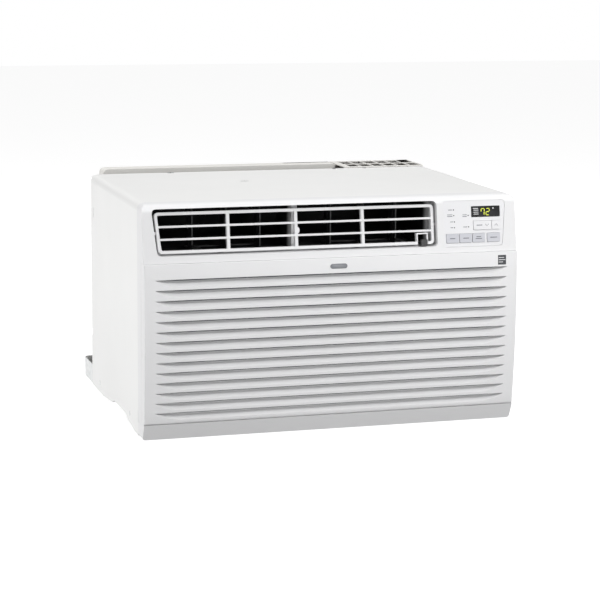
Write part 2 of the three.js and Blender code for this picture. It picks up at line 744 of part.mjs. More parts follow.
// Bell-mouth ring in the housing's front: a closed ring profile turned about the shaft.
function blowerOrifice() {
  const outer = wheelRadius - 12 - gap;
  const face = housingFront;
  const profile = [
    [outer - 12, face + 8], [outer - 14, face + 8], [outer - 12, face - 1],
    [outer + 8, face - 2.5], [outer + 8, face - gap], [outer, face - gap],
    [outer, face + 2], [outer - 10, face + 2.5], [outer - 12, face + 8],
  ];
  return turned('Y', profile, shaftX, shaftZ, 24);
}

const wheelFront = housingFront + 11;
const wheelBack = bulkheadY - 12;

// A square-section ring about the shaft's direction.
function bandRing(inner, outer, front, back, sides) {
  const section = [[inner, front], [outer, front], [outer, back], [inner, back], [inner, front]];
  return turned('Y', section, 0, 0, sides);
}

function around(blade, count) {
  return Array.from({ length: count }, (_, i) => blade.rotate([0, (360 / count) * i, 0]));
}

function blowerWheel() {
  const bore = shaftRadius + gap;
  const boss = wheelBack - 16;
  const back = turned('Y', [
    [bore, boss], [16, boss], [18, wheelBack - 4], [wheelRadius, wheelBack - 3],
    [wheelRadius, wheelBack], [bore, wheelBack], [bore, boss],
  ], 0, 0, 24);
  const ring = bandRing(wheelRadius - 10, wheelRadius, wheelFront, wheelFront + 3, 24);
  const blade = box(-0.8, 0.8, wheelFront + 1, wheelBack - 1, wheelRadius - 12, wheelRadius - 2);
  return join(back, ring, ...around(blade, 20)).translate([shaftX, 0, shaftZ]);
}

// ---- motor, shaft and condenser fan ----
const motorFront = bulkheadY + 17.5;
const motorLength = 72;
const motorRadius = 60;

function fanMotor() {
  const [front, back] = [motorFront, motorFront + motorLength];
  const bore = shaftRadius + runningGap;
  const shoulder = motorRadius - 8;
  const profile = [
    [bore, front - 6], [16, front - 6], [18, front], [shoulder, front + 2], [motorRadius, front + 14],
    [motorRadius, back - 14], [shoulder, back - 2], [18, back], [16, back + 6], [bore, back + 6],
    [bore, front - 6],
  ];
  return turned('Y', profile, shaftX, shaftZ, 20);
}

function motorBracket() {
  const front = bulkheadY + sheet + gap;
  const plate = rod('Y', motorRadius + 4, front, front + 2, shaftX, shaftZ, 20);
  const posts = [90, 210, 330].map((angle) => {
    const turn = THREE.MathUtils.degToRad(angle);
    const [x, z] = [shaftX + 48 * Math.cos(turn), shaftZ + 48 * Math.sin(turn)];
    return rod('Y', 4, front + 1, motorFront + 1, x, z, 10);
  });
  return cut(join(plate, ...posts), rod('Y', 22, front - 1, front + 3, shaftX, shaftZ));
}

function fanShaft() {
  return rod('Y', shaftRadius, wheelBack - 22, fanY + 14, shaftX, shaftZ);
}

function condenserFan() {
  const bore = shaftRadius + gap;
  const [front, back] = [fanY - 13, fanY + 13];
  const hub = turned('Y', [
    [bore, front], [22, front], [25, front + 4], [25, back], [bore, back], [bore, front],
  ], 0, 0, 20);
  const ring = bandRing(slingerRadius - 3, slingerRadius, fanY - 4, fanY + 4, 28);
  const blade = box(-34, 34, -1.2, 1.2, 20, slingerRadius - 1).rotate([0, 0, 24]).translate([0, fanY, 0]);
  const rounded = common(blade, rod('Y', slingerRadius - 0.5, fanY - 30, fanY + 30, 0, 0, 28));
  const clear = cut(rounded, rod('Y', 20, fanY - 30, fanY + 30, 0, 0));
  return join(hub, ring, ...around(clear, 5)).translate([shaftX, 0, shaftZ]);
}

// ---- coils ----
// A finned block with end plates, return bends at both ends and two pipe stubs on its right.
function coil({ left, right, front, back, foot, head }, bendPitch, stubLevels, stubEnd) {
  const middle = (front + back) / 2;
  const plates = [left, right].map((x) => (
    box(x - 0.75, x + 0.75, front - 1, back + 1, foot - 3, head + 3)));
  const bends = Math.floor((head - foot) / bendPitch);
  const pitch = (head - foot) / bends;
  const turns = [];
  for (let i = 0; i < bends; i += 1) {
    const z = foot + (i + 0.5) * pitch;
    turns.push(returnBend(left, -1, middle, z, pitch / 4), returnBend(right, 1, middle, z, pitch / 4));
  }
  const stubs = stubLevels.map((z) => rod('X', 4, right - 3, stubEnd, middle + 9, z, 8));
  return join(box(left, right, front, back, foot, head), ...plates, ...turns, ...stubs);
}

// A hairpin of tube that leaves an end plate, turns through half a circle and goes back in.
function returnBend(x, side, y, z, reach) {
  const arc = [-90, -45, 0, 45, 90].map((angle) => {
    const turn = THREE.MathUtils.degToRad(angle);
    return [x + side * (1 + (reach + 1) * Math.cos(turn)), y, z + reach * Math.sin(turn)];
  });
  const root = x - side * 2;
  return tube([[root, y, z - reach], ...arc, [root, y, z + reach]], 3.4, 6, 6);
}

const condenser = {
  left: -half + shroudLeftMargin + 25,
  right: shroudRight - 24,
  front: shroudY + 6,
  back: depth - 7,
  foot: 9,
  head: height - 9,
};
const condenserStubs = [45, height - 36];
const condenserStubEnd = shroudRight + 9;

const coilPipeY = (part) => (part.front + part.back) / 2 + 9;
const evaporatorCoil = () => coil(evaporator, 48, evaporatorStubs, evaporatorStubEnd);
const condenserCoil = () => coil(condenser, 58, condenserStubs, condenserStubEnd);

function drainTray() {
  const { left, right, foot } = evaporator;
  const [x0, x1, y0, y1, low] = [ductLeft - 2, ductRight + 4, frameDepth + 6, housingFront - 4, 8];
  const rim = foot - 3 - gap;
  const hollow = box(x0 + 2, x1 - 2, y0 + 2, y1 - 2, low + 2, rim + 5);
  const shell = cut(box(x0, x1, y0, y1, low, rim - 2), hollow);
  const cradles = [left, right].map((x) => box(x - 3, x + 3, y0 + 1, y1 - 1, low + 1, rim));
  return cut(join(shell, ...cradles), rod('Z', 5, low - 1, low + 3, shaftX, y1 - 10));
}

function evaporatorSensor() {
  const y = evaporator.front - 2.6;
  const low = evaporator.foot + 119;
  return join(rod('Z', 2.2, low, low + 32, 60, y, 8), box(57, 63, y - 2.5, y + 2.2, low + 13, low + 16));
}

// ---- condenser shroud and rear vent ----
function condenserShroud() {
  const left = -half + shroudLeftMargin;
  const foot = sheet + gap;
  const wide = (inset, y0, y1) => prism('Y', rectangle(
    left + inset, shroudRight - inset, foot, shroudTop - inset, [0, 0, Math.max(3 - inset, 0.5), 10 - inset],
  ), y0, y1);
  const shell = cut(wide(0, shroudY, depth), wide(2, shroudY + 2, depth + 1));
  const behindRim = box(left - 1, shroudRight + 1, depth - sheet - 1, depth + 1, 0, panRim + 1);
  const ringOuter = rod('Y', slingerRadius + 5, shroudY - 32, shroudY + 1, shaftX, shaftZ, 32);
  const ringFoot = shaftZ - slingerRadius + 20;
  const ring = common(ringOuter, box(-half, half, shroudY - 40, shroudY + 2, ringFoot, height));
  const bore = rod('Y', slingerRadius + 3, shroudY - 40, shroudY + 3, shaftX, shaftZ, 32);
  const open = box(shaftX - 62, shaftX + 62, shroudY - 40, shroudY + 3, -1, 20);
  const stubs = condenserStubs.map((z) => (
    rod('X', 6, shroudRight - 3, shroudRight + 1, coilPipeY(condenser), z, 10)));
  return cut(join(shell, ring), bore, open, behindRim, ...stubs);
}

function ventGrid() {
  const [x0, x1, y0, y1] = [shroudRight + 13, half - 7.8, wrapperEnd + 3, depth - 3];
  const [columns, rows, bar] = [6, 2, 2.8];
  const stepX = (x1 - x0 + bar) / columns;
  const stepY = (y1 - y0 + bar) / rows;
  const cells = [];
  for (let i = 0; i < columns; i += 1) {
    for (let j = 0; j < rows; j += 1) {
      const [x, y] = [x0 + i * stepX, y0 + j * stepY];
      cells.push(box(x, x + stepX - bar, y, y + stepY - bar, shroudTop - 10, shroudTop + 1));
    }
  }
  return cells;
}

function rearVentPanel() {
  const [left, right, foot] = [shroudRight + 1, half - 4.8, panRim + gap];
  const start = wrapperEnd + gap;
  const body = cut(
    box(left, right, start, depth, foot, shroudTop),
    box(left - 1, right - 2, start - 1, depth - 2, foot - 1, shroudTop - 2),
  );
  const slotCount = 9;
  const step = (height - 80) / slotCount;
  const slots = Array.from({ length: slotCount }, (_, i) => {
    const z = 60 + i * step;
    return box(left + 14, right - 10, depth - 3, depth + 1, z, z + 14);
  });
  return cut(body, ...ventGrid(), ...slots);
}

// ---- compressor and pipework ----
const grommetFoot = sheet + gap;
const grommetHeight = 22;

function compressor() {
  const foot = grommetFoot + grommetHeight + gap;
  const top = foot + compressorHeight;
  const shell = turned('Z', [
    [0, foot], [compressorRadius - 16, foot], [compressorRadius - 2, foot + 14],
    [compressorRadius, foot + 20], [compressorRadius, top - 34], [compressorRadius - 8, top - 14],
    [22, top], [0, top],
  ], compressorX, compressorY, 20);
  const plate = outline(compressorFeet().map(([x, y]) => (
    [compressorX + (x - compressorX) * 1.3, compressorY + (y - compressorY) * 1.3])), 22);
  const holes = compressorFeet().map(([x, y]) => rod('Z', studRadius + 2, foot - 1, foot + 5, x, y, 12));
  return cut(join(shell, prism('Z', plate, foot, foot + 3)), ...holes);
}

function grommet([x, y]) {
  const bore = studRadius + runningGap;
  const top = grommetFoot + grommetHeight;
  const profile = [
    [bore, grommetFoot], [10, grommetFoot], [8, grommetFoot + 10],
    [10, top], [bore, top], [bore, grommetFoot],
  ];
  return turned('Z', profile, x, y, 14);
}

const accumulatorReach = compressorRadius + accumulatorRadius + 7.7;
const accumulatorPlace = [compressorX - 0.55 * accumulatorReach, compressorY - 0.835 * accumulatorReach];
const accumulatorTop = evaporatorStubs[1] - 35;
const compressorTop = grommetFoot + grommetHeight + gap + compressorHeight;

function accumulator() {
  const [x, y] = accumulatorPlace;
  const can = turned('Z', [
    [0, 66], [14, 66], [accumulatorRadius, 76], [accumulatorRadius, accumulatorTop - 12],
    [8, accumulatorTop], [0, accumulatorTop],
  ], x, y, 16);
  const reach = new THREE.Vector2(compressorX - x, compressorY - y);
  const end = reach.clone().setLength(reach.length() - compressorRadius - 1.5);
  const elbow = [[x, y, 70], [x, y, 56], [x + end.x / 2, y + end.y / 2, 50], [x + end.x, y + end.y, 52]];
  return join(can, tube(elbow, 4.5, 10));
}

function terminalCover() {
  const [x, y] = [compressorX, compressorY];
  const low = compressorTop + gap;
  const clear = compressorRadius + gap;
  const crown = turned('Z', [
    [0, 0], [clear, 0], [clear, low - 34 - gap], [clear - 7.8, low - 13.7], [22, low], [0, low],
  ], x, y, 20);
  return cut(prism('Z', rectangle(x - 18, x + 18, y - 34, y - 6, 5), low - 10, low + 16), crown);
}

function suctionPipe() {
  const y = coilPipeY(evaporator);
  const [x, z] = pipeHoles[0];
  const [ax, ay] = accumulatorPlace;
  return tube([
    [evaporatorStubEnd + gap, y, z], [evaporatorStubEnd + 5, y, z], [x, y + 14, z],
    [x, bulkheadY + 10, z], [ax, ay - 30, z], [ax, ay - 4, z - 6],
    [ax, ay, accumulatorTop + 12], [ax, ay, accumulatorTop + gap],
  ], 5, 26);
}

function dischargePipe() {
  const y = coilPipeY(condenser);
  const z = condenserStubs[1];
  const [cx, cy] = [compressorX, compressorY + 14];
  return tube([
    [cx, cy, compressorTop + gap - 0.1], [cx, cy, compressorTop + 26], [cx - 14, cy + 30, z - 24],
    [cx - 30, y - 16, z - 2], [condenserStubEnd + 14, y, z], [condenserStubEnd + gap, y, z],
  ], 4, 20);
}

const dryer = { x: dryerX, z: lineZ, from: bulkheadY + 62, length: 62 };

function filterDryer() {
  const { x, z, from, length } = dryer;
  const to = from + length;
  return turned('Y', [[0, from], [3, from], [9, from + 10], [9, to - 10], [3, to], [0, to]], x, z, 14);
}

function liquidLine() {
  const y = coilPipeY(condenser);
  const z = condenserStubs[0];
  const end = dryer.from + dryer.length + gap;
  const run = shroudY - end;
  return tube([
    [condenserStubEnd + gap, y, z], [condenserStubEnd + 5, y, z],
    [condenserStubEnd + 6, shroudY - 12, z + 2],
    [dryer.x + 6, end + 0.6 * run, dryer.z], [dryer.x, end + 0.4 * run, dryer.z], [dryer.x, end, dryer.z],
  ], 3, 20, 6);
}

function capillaryTube() {
  const y = coilPipeY(evaporator);
  const { x, z, from } = dryer;
  const end = evaporatorStubEnd;
  return tube([
    [x, from - gap, z], [x, bulkheadY + 10, z], [x, bulkheadY - 60, z], [x + 20, housingFront + 14, z],
    [end + 9, y + 12, z], [end + 5, y, z], [end + gap, y, z],
  ], 2, 22, 6);
}

// ---- controls ----
const buttonFoot = 16;
const buttonHigh = 14;
const rocker = [35.6, 49.8];
const displaySpan = { left: plateLeft + 47.2, right: plateRight - 9.4, foot: 56, head: 73 };

// Each button: name, left and right edge, foot and head, all up the leaning panel.
function buttonTable() {
  const row = ['button_mode', 'button_timer', 'button_fan_speed'].map((name, i) => {
    const left = plateLeft + 3.2 + i * 22.3;
    return [name, left, left + 21, buttonFoot, buttonFoot + buttonHigh];
  });
  return [
    ...row,
    ['button_power', plateRight - 32.5, plateRight - 10.5, buttonFoot, buttonFoot + buttonHigh],
    ['button_temp_down', plateLeft + 50, plateLeft + 80.3, ...rocker],
    ['button_temp_up', plateLeft + 81.3, plateRight - 9, ...rocker],
  ];
}

function controlPanel() {
  const plate = prism('Y', plateOutline(0), plateInset, plateInset + plateThick);
  const hole = (fit, left, right, foot, head) => (
    prism('Y', rectangle(left - fit, right + fit, foot - fit, head + fit, 1.5), 0, 5));
  const holes = buttonTable().map(([, ...sides]) => hole(runningGap, ...sides));
  const { left, right, foot, head } = displaySpan;
  return onPanel(cut(plate, ...holes, hole(gap, left, right, foot, head)));
}

function displayWindow() {
  const { left, right, foot, head } = displaySpan;
  return onPanel(prism('Y', rectangle(left, right, foot, head, 1.2), plateInset - 0.2, plateInset + 2));
}

function button([, left, right, foot, head]) {
  const back = plateInset + plateThick + gap;
  const cap = prism('Y', rectangle(left, right, foot, head, 1.2), -0.4, back + 0.5);
  const flange = box(left, right, back, back + 1.4, foot - 0.9, head + 0.9);
  const trimmed = cut(cap, box(left - 1, right + 1, back + 0.2, back + 3, foot - 1, head + 1));
  return onPanel(join(trimmed, flange));
}

function controlBoard() {
  const { left, right, foot, head } = displaySpan;
  const plane = 9.5;
  const boardRight = plateRight - plateTaper - 3;
  const board = box(plateLeft + 2.5, boardRight, plane, plane + 1.6, plateFoot + 3, plateTop - 4);
  const display = box(left + 2, right - 2, plateInset + 2 + gap, plane + 0.5, foot + 2, head - 2);
  const switches = buttonTable().map(([, a, b, c, d]) => {
    const [u, v] = [(a + b) / 2, (c + d) / 2];
    return box(u - 3, u + 3, plane - 2.1, plane + 0.5, v - 3, v + 3);
  });
  return onPanel(join(board, display, ...switches));
}

const controlBoxSpan = {
  left: ductRight + 13,
  right: half - 6,
  front: frameDepth + 5,
  back: bulkheadY - 4,
  foot: seamZ - 72,
  head: height - 7,
};

function controlBox() {
  const { left, right, front, back, foot, head } = controlBoxSpan;
  return cut(
    box(left, right, front, back, foot, head),
    box(left + sheet, right - sheet, front - 1, back - sheet, foot + sheet, head - sheet),
  );
}

function runCapacitor() {
  const { left, right, foot } = controlBoxSpan;
  const [x, y, low] = [(left + right) / 2, frameDepth + 78, foot + sheet + gap];
  const can = rod('Z', 22, low, low + 78, x, y, 20);
  const tab = (step) => box(x + step - 3, x + step + 3, y - 0.4, y + 0.4, low + 77, low + 88);
  return join(can, tab(-7), tab(7));
}

function cordGland() {
  const { y, z } = glandPlace;
  const inner = half - wall - gap;
  const barrel = rod('X', glandRadius, inner - 8, half, y, z);
  const flange = rod('X', glandRadius + 3, inner - 3, inner, y, z);
  return cut(join(barrel, flange), rod('X', 3.6, inner - 10, half + 1, y, z, 12));
}

function drainPlug() {
  const [x, y] = drainPlace;
  const [neck, cap, seat] = [drainRadius - gap, drainRadius + 3, sheet + gap];
  return turned('Z', [
    [0, gap], [neck, gap], [neck, seat], [cap, seat], [cap, seat + 2.5], [0, seat + 2.5],
  ], x, y, 16);
}

// ---- assembly ----
piece('base_pan', basePan(), 'galvanised');
piece('cabinet_wrapper', cabinetWrapper(), 'whitePaint');
piece('front_frame', frontFrame(), 'whitePlastic');
piece('inlet_grille', inletGrille(), 'whitePlastic');
piece('filter_frame', filterFrame(), 'greyPlastic');
piece('filter_mesh', filterMesh(), 'mesh');
piece('louver_frame', louverFrame(), 'whitePlastic');
leftBank.forEach((x, i) => piece(`vane_left_${i + 1}`, vane(x, i === 0), 'blackPlastic'));
rightBank.forEach((x, i) => piece(`vane_right_${i + 1}`, vane(x, i === vanesPerBank - 1), 'blackPlastic'));
piece('vane_link_left', vaneLink(leftBank), 'blackPlastic');
piece('vane_link_right', vaneLink(rightBank), 'blackPlastic');
piece('outlet_duct', outletDuct(), 'foam');
piece('control_panel', controlPanel(), 'whitePlastic');
piece('display_window', displayWindow(), 'lens');
piece('control_board', controlBoard(), 'circuit');
buttonTable().forEach((row) => {
  const look = row[0].includes('temp') ? 'whitePlastic' : 'greyPlastic';
  piece(row[0], button(row), look);
});
piece('vent_lever', ventLever(), 'blackPlastic');
piece('vent_door', ventDoor(), 'blackPlastic');
piece('bulkhead', bulkhead(), 'galvanised');
piece('blower_housing', blowerHousing(), 'foam');
piece('blower_orifice', blowerOrifice(), 'greyPlastic');
piece('blower_wheel', blowerWheel(), 'blackPlastic');
piece('fan_motor', fanMotor(), 'steelBlack');
piece('motor_bracket', motorBracket(), 'galvanised');
piece('fan_shaft', fanShaft(), 'galvanised');
piece('condenser_fan', condenserFan(), 'blackPlastic');
piece('condenser_shroud', condenserShroud(), 'warmPaint');
piece('condenser_coil', condenserCoil(), 'aluminium');
piece('evaporator_coil', evaporatorCoil(), 'aluminium');
piece('drain_tray', drainTray(), 'foam');
piece('compressor', compressor(), 'steelBlack');
piece('accumulator', accumulator(), 'steelBlack');
piece('terminal_cover', terminalCover(), 'blackPlastic');
compressorFeet().forEach((place, i) => piece(`compressor_grommet_${i + 1}`, grommet(place), 'rubber'));
piece('suction_pipe', suctionPipe(), 'copper');
piece('discharge_pipe', dischargePipe(), 'copper');
piece('liquid_line', liquidLine(), 'copper');
piece('filter_dryer', filterDryer(), 'copper');
piece('capillary_tube', capillaryTube(), 'copper');
piece('control_box', controlBox(), 'galvanised');
piece('run_capacitor', runCapacitor(), 'aluminium');
piece('cord_gland', cordGland(), 'rubber');
piece('rear_vent_panel', rearVentPanel(), 'warmPaint');
piece('drain_plug', drainPlug(), 'rubber');
piece('evaporator_sensor', evaporatorSensor(), 'copper');
screwPlaces.forEach(([y, z], i) => {
  piece(`cabinet_screw_left_${i + 1}`, cabinetScrew(-1, y, z), 'galvanised');
  piece(`cabinet_screw_right_${i + 1}`, cabinetScrew(1, y, z), 'galvanised');
});

export default group;
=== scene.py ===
# A through-the-wall room air conditioner: its looks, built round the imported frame.
import json
import math

import bmesh
import bpy
import numpy as np
from mathutils import Matrix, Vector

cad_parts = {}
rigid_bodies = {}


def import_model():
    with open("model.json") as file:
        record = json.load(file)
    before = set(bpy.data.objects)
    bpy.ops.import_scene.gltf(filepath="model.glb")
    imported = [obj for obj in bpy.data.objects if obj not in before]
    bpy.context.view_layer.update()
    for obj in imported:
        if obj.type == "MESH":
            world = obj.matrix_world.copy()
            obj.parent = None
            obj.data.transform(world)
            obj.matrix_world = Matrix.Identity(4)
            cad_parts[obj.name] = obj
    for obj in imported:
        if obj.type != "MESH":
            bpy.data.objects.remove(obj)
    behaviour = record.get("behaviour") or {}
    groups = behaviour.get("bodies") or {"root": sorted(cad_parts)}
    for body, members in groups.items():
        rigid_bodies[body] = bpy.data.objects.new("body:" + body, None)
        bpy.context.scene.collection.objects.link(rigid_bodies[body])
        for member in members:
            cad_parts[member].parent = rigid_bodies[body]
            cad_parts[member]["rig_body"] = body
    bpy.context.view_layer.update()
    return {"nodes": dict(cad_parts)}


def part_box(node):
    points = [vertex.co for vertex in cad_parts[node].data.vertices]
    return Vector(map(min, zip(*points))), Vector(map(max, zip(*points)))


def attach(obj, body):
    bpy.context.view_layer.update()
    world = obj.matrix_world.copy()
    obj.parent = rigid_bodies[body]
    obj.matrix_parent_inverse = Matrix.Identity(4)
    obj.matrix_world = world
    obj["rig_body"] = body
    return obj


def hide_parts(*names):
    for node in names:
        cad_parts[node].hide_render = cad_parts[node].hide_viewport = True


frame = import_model()
nodes = frame["nodes"]
mm = 0.001
print("stage: frame loaded,", len(nodes), "nodes")

# the front of the unit, worked out from the frame
grilleLow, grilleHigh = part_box("inlet_grille")
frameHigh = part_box("front_frame")[1]
ductLow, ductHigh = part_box("outlet_duct")
unit = {
    "half": grilleHigh.x,
    "seam": grilleHigh.z,  # where the grille ends and the leaning panel begins
    "front": grilleLow.y,  # front-most plane
    "foot": grilleLow.z,
    "top": frameHigh.z,
    "faceRadius": 1431 * mm,  # the grille's bow, seen from the side
    "bulge": grilleHigh.z - 96.6 * mm,
    "panelSetBack": 6.7 * mm,
    "lean": math.atan(0.17),
}


# ---- small tools ----
def linearColor(code):  # sRGB hex, such as "f2f2f0", to linear red, green, blue, alpha
    parts = np.array([int(code[i:i + 2], 16) for i in (0, 2, 4)]) / 255
    linear = np.where(parts <= 0.04045, parts / 12.92, ((parts + 0.055) / 1.055) ** 2.4)
    return (*linear.tolist(), 1.0)


def addNode(tree, kind, settings=None, links=None):
    node = tree.nodes.new(kind)
    for name, value in (settings or {}).items():
        if isinstance(name, int) or name in node.inputs:
            node.inputs[name].default_value = value
        else:
            setattr(node, name, value)
    for name, source in (links or {}).items():
        tree.links.new(source, node.inputs[name])
    return node


def newMaterial(name):
    material = bpy.data.materials.new(name)
    material.use_nodes = True
    tree = material.node_tree
    tree.nodes.clear()
    place = addNode(tree, "ShaderNodeTexCoord").outputs["Object"]
    return material, tree, place


def closeMaterial(tree, shader):
    addNode(tree, "ShaderNodeOutputMaterial", {}, {"Surface": shader.outputs[0]})


def faceY(z):  # the bowed grille face: a circle of faceRadius, as a parabola about its furthest point
    return unit["front"] + (z - unit["bulge"]) ** 2 / (2 * unit["faceRadius"])


# From the leaning panel's own x, depth and height up the panel to the row frame.
def onPanel(points):
    x, depth, up = points[..., 0], points[..., 1], points[..., 2]
    c, s = math.cos(unit["lean"]), math.sin(unit["lean"])
    y = unit["front"] + unit["panelSetBack"] + depth * c + up * s
    z = unit["seam"] - depth * s + up * c
    return np.stack([x, y, z], axis=-1)


def gridFaces(rows, columns, wrap=False, start=0):
    last = columns if wrap else columns - 1
    r, c = np.meshgrid(np.arange(rows - 1), np.arange(last), indexing="ij")
    a = r * columns + c
    b = r * columns + (c + 1) % columns
    return (np.stack([a, b, b + columns, a + columns], axis=-1).reshape(-1, 4) + start).tolist()


def joinParts(parts):
    points, faces, start = [], [], 0
    for place, sides in parts:
        points.append(place)
        faces += [[i + start for i in side] for side in sides]
        start += len(place)
    return np.concatenate(points), faces


def dress(piece, body, material, stands=()):
    piece.data.materials.clear()
    piece.data.materials.append(material)
    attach(piece, body)
    if stands:
        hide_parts(*stands)
    return piece


def makePiece(name, parts, sharp=35, turnOut=True):
    points, faces = joinParts(parts)
    mesh = bpy.data.meshes.new(name)
    mesh.from_pydata(points.tolist(), [], faces)
    shape = bmesh.new()
    shape.from_mesh(mesh)
    bmesh.ops.remove_doubles(shape, verts=shape.verts, dist=2e-6)
    bmesh.ops.dissolve_degenerate(shape, edges=shape.edges, dist=2e-6)
    if turnOut:
        bmesh.ops.recalc_face_normals(shape, faces=shape.faces)
    shape.to_mesh(mesh)
    shape.free()
    mesh.shade_smooth()
    mesh.set_sharp_from_angle(angle=math.radians(sharp))
    piece = bpy.data.objects.new(name, mesh)
    bpy.context.scene.collection.objects.link(piece)
    return piece


# A CAD node's shape with its triangles joined up and its edges eased by a small bevel.
def easedCopy(node, edge, material, sharp=28):
    mesh = nodes[node].data.copy()
    mesh.name = node + "_shell"
    shape = bmesh.new()
    shape.from_mesh(mesh)
    bmesh.ops.remove_doubles(shape, verts=shape.verts, dist=5e-6)
    bmesh.ops.dissolve_limit(
        shape, angle_limit=math.radians(0.6), verts=shape.verts, edges=shape.edges)
    shape.to_mesh(mesh)
    shape.free()
    mesh.shade_smooth()
    mesh.set_sharp_from_angle(angle=math.radians(sharp))
    piece = bpy.data.objects.new(node + "_shell", mesh)
    bpy.context.scene.collection.objects.link(piece)
    bevel = piece.modifiers.new("easedEdges", "BEVEL")
    bevel.width = edge
    bevel.segments = 2
    bevel.limit_method = "ANGLE"
    bevel.angle_limit = math.radians(sharp)
    bevel.harden_normals = True
    return dress(piece, nodes[node]["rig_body"], material, [node])


# A rounded rectangle as a closed ring of points, shrunk by an inset.
def roundedRing(x0, x1, v0, v1, radius, inset=0.0, steps=6):
    r = max(radius - inset, 1e-5)
    corners = [(x1 - radius, v1 - radius, 0), (x0 + radius, v1 - radius, 90),
               (x0 + radius, v0 + radius, 180), (x1 - radius, v0 + radius, 270)]
    ring = []
    for cx, cv, turn in corners:
        a = np.radians(turn + np.linspace(0, 90, steps))
        ring.append(np.stack([cx + r * np.cos(a), cv + r * np.sin(a)], axis=-1))
    return np.concatenate(ring)


# A plate with an eased front edge: rings of the same outline at three depths, closed by two caps.
def softPlate(span, radius, front, back, edge, place=onPanel):
    x0, x1, v0, v1 = span
    rings = []
    for inset, depth in ((edge, front), (edge * 0.3, front + edge * 0.3), (0.0, front + edge), (0.0, back)):
        ring = roundedRing(x0, x1, v0, v1, radius, inset)
        rings.append(np.stack([ring[:, 0], np.full(len(ring), depth), ring[:, 1]], axis=-1))
    count = len(rings[0])
    faces = gridFaces(len(rings), count, wrap=True)
    faces.append(list(range(count))[::-1])
    faces.append([i + count * (len(rings) - 1) for i in range(count)])
    return place(np.concatenate(rings)), faces


# A round tube: a circle carried along a path, turned to stay square to it, with capped ends.
def tubeAlong(path, radius, sides=12, closed=False):
    path = np.asarray(path, float)
    ahead = np.roll(path, -1, axis=0) if closed else np.vstack([path[1:], 2 * path[-1:] - path[-2:-1]])
    behind = np.roll(path, 1, axis=0) if closed else np.vstack([2 * path[:1] - path[1:2], path[:-1]])
    along = ahead - behind
    along /= np.linalg.norm(along, axis=1)[:, None]
    hint = np.array([0.0, 1.0, 0.0]) if abs(along[:, 1]).max() < 0.9 else np.array([0.31, 0.2, 0.93])
    side = np.cross(along, hint)
    side /= np.linalg.norm(side, axis=1)[:, None]
    up = np.cross(side, along)
    a = np.linspace(0, 2 * np.pi, sides, endpoint=False)
    ring = np.cos(a)[None, :, None] * side[:, None] + np.sin(a)[None, :, None] * up[:, None]
    points = (path[:, None] + radius * ring).reshape(-1, 3)
    faces = gridFaces(len(path), sides, wrap=True)
    if closed:
        first, last = np.arange(sides), np.arange(sides) + sides * (len(path) - 1)
        faces += np.stack([last, np.roll(last, -1), np.roll(first, -1), first], axis=-1).tolist()
    else:
        faces.append(list(range(sides))[::-1])
        faces.append([i + sides * (len(path) - 1) for i in range(sides)])
    return points, faces


# ---- materials ----
plastics = {
    # moulded ABS with a fine spark-eroded grain: soft, even sheen
    "mouldedWhiteAbs": {"color": "dfdfe0", "shade": "dbdbdc", "rough": 0.42, "grain": 0.9, "bump": 0.05},
    "mouldedPlateAbs": {"color": "dfdfe1", "shade": "dbdbdd", "rough": 0.38, "grain": 0.8, "bump": 0.04},
    "greyKeyAbs": {"color": "c3c4ca", "shade": "bcbdc4", "rough": 0.46, "grain": 0.7, "bump": 0.05},
    "whiteKeyAbs": {"color": "dfdfe1", "shade": "dadadc", "rough": 0.4, "grain": 0.7, "bump": 0.04},
    "blackAbs": {"color": "17181a", "shade": "101112", "rough": 0.45, "grain": 0.9, "bump": 0.06},
    "filterGreyPp": {"color": "8d9196", "shade": "83878c", "rough": 0.55, "grain": 1.0, "bump": 0.06},
    "fanBlackPp": {"color": "1c1d1f", "shade": "131416", "rough": 0.52, "grain": 1.2, "bump": 0.07},
    "markGreyInk": {"color": "74767d", "shade": "6a6c73", "rough": 0.6, "grain": 0.5, "bump": 0.02},
    "badgeGreyAbs": {"color": "7c7e83", "shade": "6f7176", "rough": 0.32, "grain": 0.6, "bump": 0.03},
    "labelCharcoalInk": {"color": "3c3e42", "shade": "343639", "rough": 0.5, "grain": 0.5, "bump": 0.02},
    "blackRubber": {"color": "161616", "shade": "0f0f0f", "rough": 0.82, "grain": 1.6, "bump": 0.12},
}


# Moulded plastic: a slow change of tone over a hand's breadth, and a grain in millimetres that breaks up
# the gloss.
def mouldedPlastic(name):
    look = plastics[name]
    material, tree, place = newMaterial(name)
    tone = addNode(tree, "ShaderNodeTexNoise", {"Scale": 1 / 0.09, "Detail": 2.0}, {"Vector": place})
    mix = addNode(tree, "ShaderNodeMix", {
        "data_type": "RGBA", 6: linearColor(look["color"]), 7: linearColor(look["shade"]),
    }, {0: tone.outputs[0]})
    grain = addNode(tree, "ShaderNodeTexNoise", {
        "Scale": 1 / (look["grain"] * mm), "Detail": 2.0, "Roughness": 0.6,
    }, {"Vector": place})
    bump = addNode(tree, "ShaderNodeBump", {"Strength": look["bump"], "Distance": 0.1 * mm}, {
        "Height": grain.outputs[0]})
    rough = addNode(tree, "ShaderNodeMapRange", {
        "To Min": look["rough"] - 0.04, "To Max": look["rough"] + 0.05}, {"Value": grain.outputs[0]})
    shader = addNode(tree, "ShaderNodeBsdfPrincipled", {"IOR": 1.53}, {
        "Base Color": mix.outputs[2], "Roughness": rough.outputs[0], "Normal": bump.outputs[0]})
    closeMaterial(tree, shader)
    return material


